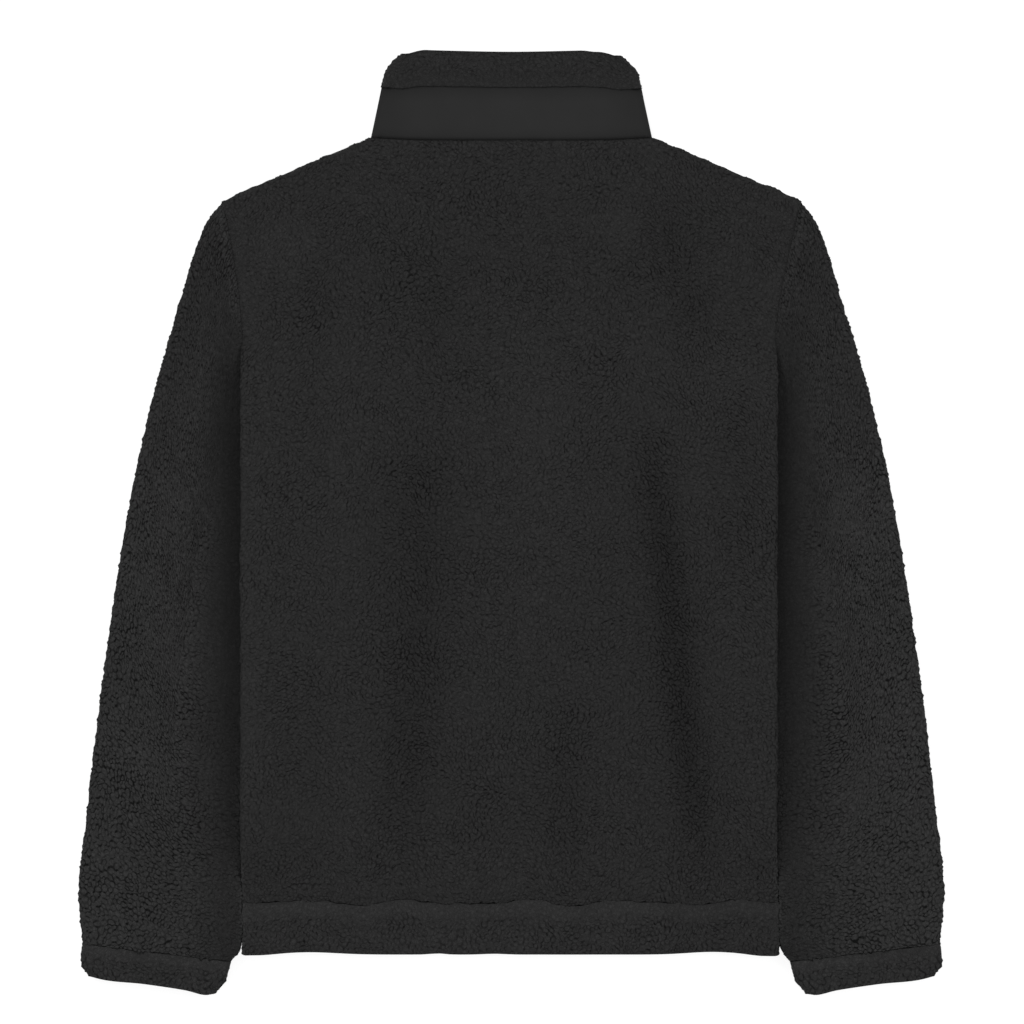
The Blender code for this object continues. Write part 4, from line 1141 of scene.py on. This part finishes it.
def tape_material(style):
    """Zip tape, woven polyester: fine ribs across it and a herringbone along it."""
    material, tree, shader = new_material("woven_polyester_zip_tape")
    place = places(tree)
    ribs, rows = (add_node(tree, "TexWave", {"bands_direction": way}, Vector=place,
                           Scale=1000 / (20 * size), Distortion=wander).outputs["Fac"]
                  for way, size, wander in (("Y", RIB_MM, 0.6), ("X", HERRINGBONE_MM, 0.0)))
    weave = add_math(tree, "MULTIPLY", ribs, rows)
    tone = add_range(tree, weave, (0.8, 1.15), (0.0, 1.0))
    connect(tree, shader, Base_Color=shaded(tree, style.tape_colour, tone), Roughness=0.85,
            Specular_IOR_Level=0.3, Sheen_Weight=0.15, Sheen_Roughness=0.4,
            Normal=add_bump(tree, weave, 0.4, 0.2))
    return material


def teeth_material(style):
    """Moulded acetal zip teeth: smooth, a little glossy, with faint mould marks."""
    material, tree, shader = new_material("moulded_acetal")
    place = places(tree)
    gloss = add_range(tree, add_noise(tree, place, 1.5, Detail=2.0), (0.28, 0.42), (0.0, 1.0))
    connect(tree, shader, Base_Color=linear(style.teeth_colour), Roughness=gloss)
    return material


def painted_metal_material(style):
    """Zinc slider and pull under satin black paint: a soft highlight, finely scuffed."""
    material, tree, shader = new_material("satin_painted_zinc")
    place = places(tree)
    scuffs = add_noise(tree, place, 0.8, Detail=4.0, Roughness=0.7)
    gloss = add_range(tree, scuffs, (0.3, 0.5), (0.0, 1.0))
    connect(tree, shader, Base_Color=linear(style.metal_colour), Roughness=gloss, Coat_Weight=0.3,
            Coat_Roughness=0.3, Normal=add_bump(tree, scuffs, 0.1, 0.05))
    return material


# --- Pieces -------------------------------------------------------------------------------------

# Flat width, length and area of the cloth that shows, how it is held, and what it lies on. Where a
# piece has two sides, * stands for its own.
FLAT = {
    "back_panel": (0.515, 0.650, 0.296, "laid",
                   ("front_pile_left", "front_pile_right", "sleeve_pile_left", "sleeve_pile_right")),
    "front": (0.260, 0.650, 0.143, "laid", ("floor",)),
    "sleeve": (0.553, 0.640, 0.157, "folded", ("floor",)),
    "cuff": (0.272, 0.033, 0.0074, "folded", ("floor",)),
    "hem_band": (0.925, 0.047, 0.040, "folded", ("floor",)),
    "collar_band": (0.494, 0.047, 0.021, "folded", ("floor",)),
    "collar_pile": (0.461, 0.037, 0.013, "folded", ("floor",)),
    "zip_tape": (0.0112, 0.720, 0.0080, "laid", ("front_pile_*",)),
}


def settle(mesh, material, node):
    """Puts a piece in the scene in place of its solid."""
    piece = bpy.data.objects.new(mesh.name, mesh)
    mesh.materials.append(material)
    bpy.context.scene.collection.objects.link(piece)
    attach(piece, "garment")
    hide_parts(node)
    kind = node.removesuffix("_left").removesuffix("_right")
    if kind in FLAT:
        width, long, area, held, rests_on = FLAT[kind]
        rests_on = tuple(name.replace("*", node[len(kind) + 1:]) for name in rests_on)
    return piece


SEAM_CLOSED = 0.1                           # openness of a seam that the pile covers
HEM_NEAR, CUFF_NEAR = 6.0 * MM, 5.0 * MM    # how near counts as being at the seam
# The hem seam's darkness is painted shade, as well as depth
HEM_DARK_X, HEM_DARK_WIDTH = -36.0 * MM, 38.0 * MM      # where the hem seam is darkest
UPPER_Z, SLEEVE_UPPER_Z = 10.0 * MM, 13.0 * MM          # locks below hang over no seam
COLLAR_SEAM_Y, COLLAR_SEAM_END = 300.0 * MM, 2.0 * MM
SLEEVE_TOP_Y, CUFF_TOP_Y = 262.0 * MM, -340.0 * MM
# Reach of the locks over each seam
HEM_REACH, COLLAR_REACH, ARMHOLE_REACH, CUFF_REACH, STAND_REACH = np.array((0.7, 0.6, 0.7, 1.7, 0.5)) * MM


def patches(x, y, seed):
    """Where the pile lies looser and closer, about 1 on average."""
    return 1.0 + 0.15 * clouds(x, y, 30 * MM, seed) + 0.08 * clouds(x, y, 100 * MM, seed + 1)


def seams_closed(x, y, z):
    return np.full_like(x, SEAM_CLOSED)


def seam_shade_under_fringe(x, y, z):
    """Painted shade and depth of the hem seam where locks hang over it, most of all left of the middle; the
    real overhang casts shade there too.
    """
    dark = 0.85 + 0.4 * clouds(x, y, 16 * MM, 81) + 0.6 * bell(x - HEM_DARK_X, HEM_DARK_WIDTH)
    return np.where(np.abs(y - HEM_SEAM_Y) < HEM_NEAR, dark, SEAM_CLOSED)


def seam_shade_under_cuff_fringe(x, y, z):
    # Painted shade and depth of the cuff seam where locks hang over it
    dark = 0.9 + 0.5 * clouds(x, y, 14 * MM, 83)
    return np.where(np.abs(y - cuff_seam_y(x)) < CUFF_NEAR, dark, SEAM_CLOSED)


def over_bands(x, y, z):
    """Reach of the back's locks over the hem seam and the collar seam."""
    hem = HEM_REACH * (1.0 + 0.6 * clouds(x, y, 18 * MM, 85))
    at_collar = (y > COLLAR_SEAM_Y) & (np.abs(x) < NECK_HALF - COLLAR_SEAM_END)
    reach = np.where(np.abs(y - HEM_SEAM_Y) < HEM_NEAR, hem, np.where(at_collar, COLLAR_REACH, 0.0))
    return np.where(z > UPPER_Z, reach, 0.0)


def over_armhole_and_cuff(x, y, z):
    """Reach of the sleeve's locks over the armhole seam and the cuff seam, where they show."""
    armhole = np.where((y > ARMHOLE_END_Y - 5 * MM) & (y < SLEEVE_TOP_Y), ARMHOLE_REACH, 0.0)
    cuff = CUFF_REACH * np.clip(0.5 + 0.9 * clouds(x, y, 18 * MM, 87), 0.1, 1.4)
    return np.where(z > SLEEVE_UPPER_Z, np.where(y < CUFF_TOP_Y, cuff, armhole), 0.0)


def over_stand(x, y, z):
    return np.where((y < collar_y(x, 1.0, 0.7)) & (z > UPPER_Z), STAND_REACH, 0.0)


def cuff_seam_y(x):
    return -353 * MM - 0.12 * (360 * MM - np.abs(x))


def body_strength(x, y, z):
    from_armhole = rise(side_x(y) - np.abs(x), 0.0, 26 * MM, low=0.7)
    beside = np.where(y > ARMHOLE_END_Y, from_armhole, 1.0)
    # Cracks run deeper and darker in the bands of painted shade, shallower in those of painted light
    deeper_in_painted_shade = 1.0 - 1.6 * soft_bands(x, y, BACK_PAINTED_LIGHT_AND_SHADE_MM)
    return np.clip(0.9 * patches(x, y, 21) * deeper_in_painted_shade, 0.45, 1.5) * beside


# Painted shade on a sleeve beside the body: height on the jacket, then how much darker the sleeve is
# painted beside the body, how far that reaches, and how much painted light it gets in the very corner
PAINTED_SHADE_BESIDE_BODY_MM = (
    (-360.0, 0.36, 42.0, 0.0),
    (-305.0, 0.32, 42.0, 0.2),
    (-259.0, 0.35, 46.0, 0.45),
    (-175.0, 0.46, 48.0, 0.25),
    (-91.0, 0.56, 48.0, 0.05),
    (-7.0, 0.56, 40.0, 0.0),
    (77.0, 0.51, 33.0, 0.0),
    (136.0, 0.28, 26.0, 0.0),
    (190.0, 0.0, 20.0, 0.0),
)


def painted_shade_beside_body(x, y):
    """Painted shade: how much darker the sleeve is painted where the body's side edge keeps the light off it,
    less a little painted light in the very corner.
    """
    heights, darker, reach, lit = np.array(PAINTED_SHADE_BESIDE_BODY_MM).T
    away = np.abs(x) - side_x(y)
    dark = 1.0 - rise(away, 8 * MM, np.interp(y, heights * MM, reach * MM))
    corner = 0.6 * np.interp(y, heights * MM, lit) * bell(away, 7 * MM)
    return np.interp(y, heights * MM, darker) * dark - corner


def sleeve_strength(x, y, z):
    lower = 1.17 + 0.1 * rise(y, 140 * MM, -260 * MM)
    # Cracks run shallower where the sleeve is painted in shade beside the body
    beside = 1.0 - 1.15 * np.maximum(painted_shade_beside_body(x, y), 0.0)
    return np.clip(lower * patches(x, y, 23), 0.45, 1.6) * beside


def hem_strength(x, y, z):
    return rise(hem_seam_y(x) - y, 8 * MM, 12 * MM, 0.45, 0.95) * patches(x, y, 25)


def cuff_strength(x, y, z):
    return rise(cuff_seam_y(x) - y, 6 * MM, 8 * MM, 0.4, 0.95)


def roll_strength(x, y, z):
    return rise(y - collar_y(x, 1.0, STAND_SHARE), 3 * MM, 10 * MM, 0.3, 0.75)


# Bands where the back is painted darker or lighter, painted shade and painted light standing in for the
# shading of its soft folds: x0, y0, x1, y1, half width, share
BACK_PAINTED_LIGHT_AND_SHADE_MM = (
    (-70.0, 250.0, -62.0, 90.0, 22.0, -0.08),
    (-62.0, 120.0, -96.0, -330.0, 24.0, -0.17),
    (108.0, 130.0, 166.0, -340.0, 17.0, -0.28),
    (-168.0, 240.0, -168.0, 20.0, 14.0, -0.06),
    (118.0, 290.0, 165.0, 130.0, 22.0, -0.13),
    (196.0, 120.0, 196.0, -70.0, 22.0, -0.08),
    (42.0, -130.0, 48.0, -330.0, 16.0, -0.10),
    (-215.0, 255.0, -165.0, 215.0, 24.0, 0.10),
    (72.0, 262.0, 110.0, 240.0, 20.0, 0.08),
    (10.0, 200.0, 40.0, -60.0, 34.0, 0.05),
    (-150.0, 60.0, -128.0, -320.0, 26.0, 0.05),
    (-222.0, 100.0, -222.0, -330.0, 14.0, 0.06),
)
ROLL_NAP, STAND_NAP = 0.845, 0.82


def painted_light_at_side(x, y, lighter):
    """Painted light: above 1 on the cloth that meets across the body's side edge below the tucked-in sleeve,
    lifting the shade of the groove there.
    """
    return 1.0 + lighter * bell(np.abs(x) - CHEST_HALF, 1.5 * MM) * rise(y, -262 * MM, -24 * MM)


def back_tone_and_painted_shade(x, y, z):
    # Darker towards the top, with the bands' painted shade and painted light, and painted light along the
    # side edge
    low = rise(y, 100 * MM, 160 * MM, 0.945, 0.87)
    return low * (1.0 + soft_bands(x, y, BACK_PAINTED_LIGHT_AND_SHADE_MM)) * painted_light_at_side(x, y, 0.6)


def level(x, y, z):
    return np.ones_like(x)


def roll_nap(x, y, z):
    return np.full_like(x, ROLL_NAP)


def stand_painted_shade(x, y, z):
    """Painted shade: the padded stand is painted a little darker towards its borders."""
    up = (y - collar_y(x, 1.0, 0.0)) / (COLLAR_HEIGHT * STAND_SHARE)
    beside = collar_half_width(np.clip(up, 0.0, 1.0) * STAND_SHARE) - np.abs(x)
    # Each border: distance from it, how far its painted shade reaches into the stand and by how much
    borders = ((up, 0.3, 0.05), (1.0 - up, 0.32, 0.17), (beside, 42 * MM, 0.12), (beside, 7 * MM, 0.1))
    return STAND_NAP - sum(darker * (1.0 - rise(away, 0.0, far)) for away, far, darker in borders)


def sleeve_tone_and_painted_shade(x, y, z):
    """Lighter below and darker on the inner side lower down, with painted shade beside the body, painted
    light along the knotted rope of pile at the armhole seam and painted light at the body's side edge.
    """
    off_seam = np.abs(x) - side_x(y) - 3.5 * MM
    knots = 0.6 + 0.4 * np.sin(2 * math.pi * y / (5.6 * MM) + 2.0 * clouds(x, y, 12 * MM, 35))
    rope_painted_light = 0.3 * bell(off_seam, 2.6 * MM) * knots * rise(y, 150 * MM, 40 * MM)
    base = rise(y, -30 * MM, 230 * MM, 1.24, 0.92)
    inner = 1.0 - 0.09 * (1.0 - rise(np.abs(x), 262 * MM, 34 * MM)) * rise(y, -90 * MM, -90 * MM)
    even = 1.0 + 0.04 * clouds(x, y, 50 * MM, 31)
    return base * inner * even * (1.0 - painted_shade_beside_body(x, y) + rope_painted_light) * painted_light_at_side(x, y, 0.6)


def below_seam_painted_light(x, y, z):
    """Painted light just below the hem's and the cuffs' seams and at the body's side edge; darker on the
    hem's right side.
    """
    below = np.where(np.abs(x) < CHEST_HALF + 1 * MM, hem_seam_y(x), cuff_seam_y(x)) - y
    right = 0.09 * rise(x, 100 * MM, 60 * MM) * (y > -366 * MM)
    lit = 1.03 - right + 0.12 * bell(below - 6 * MM, 6 * MM) + 0.05 * clouds(x, y, 30 * MM, 33)
    return lit * painted_light_at_side(x, y, 0.55)


def colour(name, what, default):
    return bpy.props.StringProperty(name=name, description="sRGB hex colour of " + what, default=default)


def length(name, description, default):
    return bpy.props.FloatProperty(name=name, description=description, default=default, unit="LENGTH")


class JacketStyle(bpy.types.PropertyGroup):
    """Colours and pile of the jacket"""
    pile_colour: colour("Pile", "the pile", "#2A2A2A")
    # Painted shade: the colour the cracks between locks are painted in place of their shade
    crack_shade_colour: colour("Cracks", "the depth between locks", "#090909")
    weave_colour: colour("Weave", "the collar stand", "#2A2A2A")
    lock_spacing: length("Lock spacing", "From lock to lock of the body's pile", 3.55 * MM)
    sleeve_lock_spacing: length("Sleeve lock spacing", "From lock to lock on the sleeves", 3.8 * MM)


class ZipStyle(bpy.types.PropertyGroup):
    """Size and colours of the zip"""
    tooth_pitch: length("Tooth pitch", "From one tooth to the next on a side", 3.0 * MM)
    tape_colour: colour("Tape", "the tapes", "#222222")
    teeth_colour: colour("Teeth", "the teeth", "#262627")
    metal_colour: colour("Metal", "the painted slider", "#2A2A2B")


class StudioStyle(bpy.types.PropertyGroup):
    """Camera, floor and light"""
    lens: bpy.props.FloatProperty(name="Lens", description="Focal length", default=135.0, unit="CAMERA")
    view_width: length("View width", "Width of the picture on the cloth", PICTURE * PIXEL)
    world_light: bpy.props.FloatProperty(name="Room light", description="Strength of the even light",
                                         default=0.8)
    floor_colour: colour("Floor", "the table", "#7C7C7C")


SIDES = (("left", -1.0), ("right", 1.0))


class JACKET_OT_body(bpy.types.Operator):
    """Back and fronts in pile cloth"""
    bl_idname = "jacket.body"
    bl_label = "Body panels"

    def execute(self, context):
        style = context.scene.jacket_style
        pile = pile_material(style)
        mesh = add_pile("back", back_skins(), False, 1, style.lock_spacing, body_strength, wandering,
                        back_tone_and_painted_shade, seam_shade_under_fringe, over_bands)
        settle(mesh, pile, "back_panel")
        for side, sign in SIDES:
            mesh = add_pile("front_pile_" + side, front_skins(sign), False, 2, style.lock_spacing,
                            body_strength, wandering, level, seam_shade_under_fringe)
            settle(mesh, pile, "front_" + side)
        return {"FINISHED"}


class JACKET_OT_sleeves(bpy.types.Operator):
    """Sleeves and cuffs in pile cloth"""
    bl_idname = "jacket.sleeves"
    bl_label = "Sleeves and cuffs"

    def execute(self, context):
        style = context.scene.jacket_style
        pile, spacing = pile_material(style), style.sleeve_lock_spacing
        for side, sign in SIDES:
            mesh = add_pile("sleeve_pile_" + side, mirrored(sleeve_skins(), sign), True, 3, spacing,
                            sleeve_strength, across_sleeve, sleeve_tone_and_painted_shade, seam_shade_under_cuff_fringe,
                            over_armhole_and_cuff)
            settle(mesh, pile, "sleeve_" + side)
            mesh = add_pile("cuff_pile_" + side, mirrored(cuff_skins(), sign), True, 4, spacing,
                            cuff_strength, wandering, below_seam_painted_light, seam_shade_under_cuff_fringe)
            settle(mesh, pile, "cuff_" + side)
        return {"FINISHED"}


class JACKET_OT_bands(bpy.types.Operator):
    """Hem band and the collar's pile roll and woven stand"""
    bl_idname = "jacket.bands"
    bl_label = "Hem and collar"

    def execute(self, context):
        style = context.scene.jacket_style
        pile, spacing = pile_material(style), style.lock_spacing
        hem = add_pile("hem", hem_skins(), False, 5, spacing, hem_strength, wandering, below_seam_painted_light,
                       seam_shade_under_fringe)
        settle(hem, pile, "hem_band")
        roll = add_pile("collar_roll", roll_skins(), False, 6, spacing, roll_strength, wandering, roll_nap,
                        seams_closed, over_stand)
        settle(roll, pile, "collar_pile")
        stand = add_plain("collar_stand", stand_skins(), False, stand_painted_shade)
        settle(stand, woven_material(style), "collar_band")
        return {"FINISHED"}


class JACKET_OT_zip(bpy.types.Operator):
    """Zip under the fronts: tapes, teeth, slider and pull"""
    bl_idname = "jacket.zip"
    bl_label = "Zip"

    def execute(self, context):
        style = context.scene.zip_style
        tape, metal = tape_material(style), painted_metal_material(style)
        for side, _ in SIDES:
            settle(add_tape("tape_" + side, "zip_tape_" + side), tape, "zip_tape_" + side)
        teeth = add_teeth("teeth", "zip_chain", style.tooth_pitch)
        settle(teeth, teeth_material(style), "zip_chain")
        for node in ("zip_slider", "zip_pull"):
            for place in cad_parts[node].material_slots:
                place.material = metal
        return {"FINISHED"}


class JACKET_OT_studio(bpy.types.Operator):
    """Pale floor, soft light and the camera straight above"""
    bl_idname = "jacket.studio"
    bl_label = "Studio"

    def execute(self, context):
        scene, studio = context.scene, context.scene.studio_style
        # The table glows, except under the body, where an unlit sheet stands in as painted shade under the
        # cloth and keeps the glow from showing through its gaps
        for name, low, high, z, glow in FLOORS:
            mesh = plain_mesh(name, [(low[0], low[1], z), (high[0], low[1], z), (high[0], high[1], z),
                                     (low[0], high[1], z)], [(0, 1, 2, 3)])
            floor = bpy.data.objects.new(name, mesh)
            scene.collection.objects.link(floor)
            kind = "white_acrylic_light_table" if glow else "unlit_acrylic"
            material, tree, shader = new_material(kind)
            connect(tree, shader, Base_Color=linear(studio.floor_colour), Roughness=0.9,
                    Emission_Color=(1.0, 1.0, 1.0, 1.0), Emission_Strength=glow)
            mesh.materials.append(material)

        world = bpy.data.worlds.new("studio_world")
        world.use_nodes = True
        background = world.node_tree.nodes["Background"]
        background.inputs["Color"].default_value = (1.0, 1.0, 1.0, 1.0)
        background.inputs["Strength"].default_value = studio.world_light
        scene.world = world
        for name, place, power, size in LIGHTS:
            light = bpy.data.lights.new(name + "_softbox", "AREA")
            light.energy, light.size = power, size
            box = bpy.data.objects.new(light.name, light)
            box.location = place
            box.rotation_mode = "QUATERNION"
            box.rotation_quaternion = Vector(place).to_track_quat("Z", "Y")
            box.visible_camera = False
            scene.collection.objects.link(box)

        camera = bpy.data.cameras.new("camera")
        camera.lens, camera.sensor_width = studio.lens, 36.0
        camera.clip_end = 50.0
        eye = bpy.data.objects.new("camera", camera)
        pixel = studio.view_width / PICTURE
        height = studio.view_width * studio.lens / camera.sensor_width
        eye.location = (VIEW_SHIFT[0] * pixel, VIEW_SHIFT[1] * pixel, height + VIEW_Z)
        scene.collection.objects.link(eye)
        scene.camera = eye
        scene.view_settings.view_transform = "Standard"
        return {"FINISHED"}


class JACKET_PT_panel(bpy.types.Panel):
    """Lists the pieces"""
    bl_label = "Sherpa jacket"
    bl_idname = "JACKET_PT_panel"
    bl_space_type = "VIEW_3D"
    bl_region_type = "UI"
    bl_category = "Jacket"

    def draw(self, context):
        for group in (context.scene.jacket_style, context.scene.zip_style, context.scene.studio_style):
            for key in group.bl_rna.properties.keys():
                if key not in ("rna_type", "name"):
                    self.layout.prop(group, key)
        for operator in OPERATORS:
            self.layout.operator(operator.bl_idname)


OPERATORS = (JACKET_OT_body, JACKET_OT_sleeves, JACKET_OT_bands, JACKET_OT_zip, JACKET_OT_studio)
CLASSES = (JacketStyle, ZipStyle, StudioStyle, *OPERATORS, JACKET_PT_panel)


def register():
    for item in CLASSES:
        bpy.utils.register_class(item)
    bpy.types.Scene.jacket_style = bpy.props.PointerProperty(type=JacketStyle)
    bpy.types.Scene.zip_style = bpy.props.PointerProperty(type=ZipStyle)
    bpy.types.Scene.studio_style = bpy.props.PointerProperty(type=StudioStyle)


def unregister():
    del bpy.types.Scene.studio_style
    del bpy.types.Scene.zip_style
    del bpy.types.Scene.jacket_style
    for item in reversed(CLASSES):
        bpy.utils.unregister_class(item)


def main():
    register()
    bpy.ops.jacket.body()
    bpy.ops.jacket.sleeves()
    bpy.ops.jacket.bands()
    bpy.ops.jacket.zip()
    bpy.ops.jacket.studio()


if __name__ == "__main__":
    main()
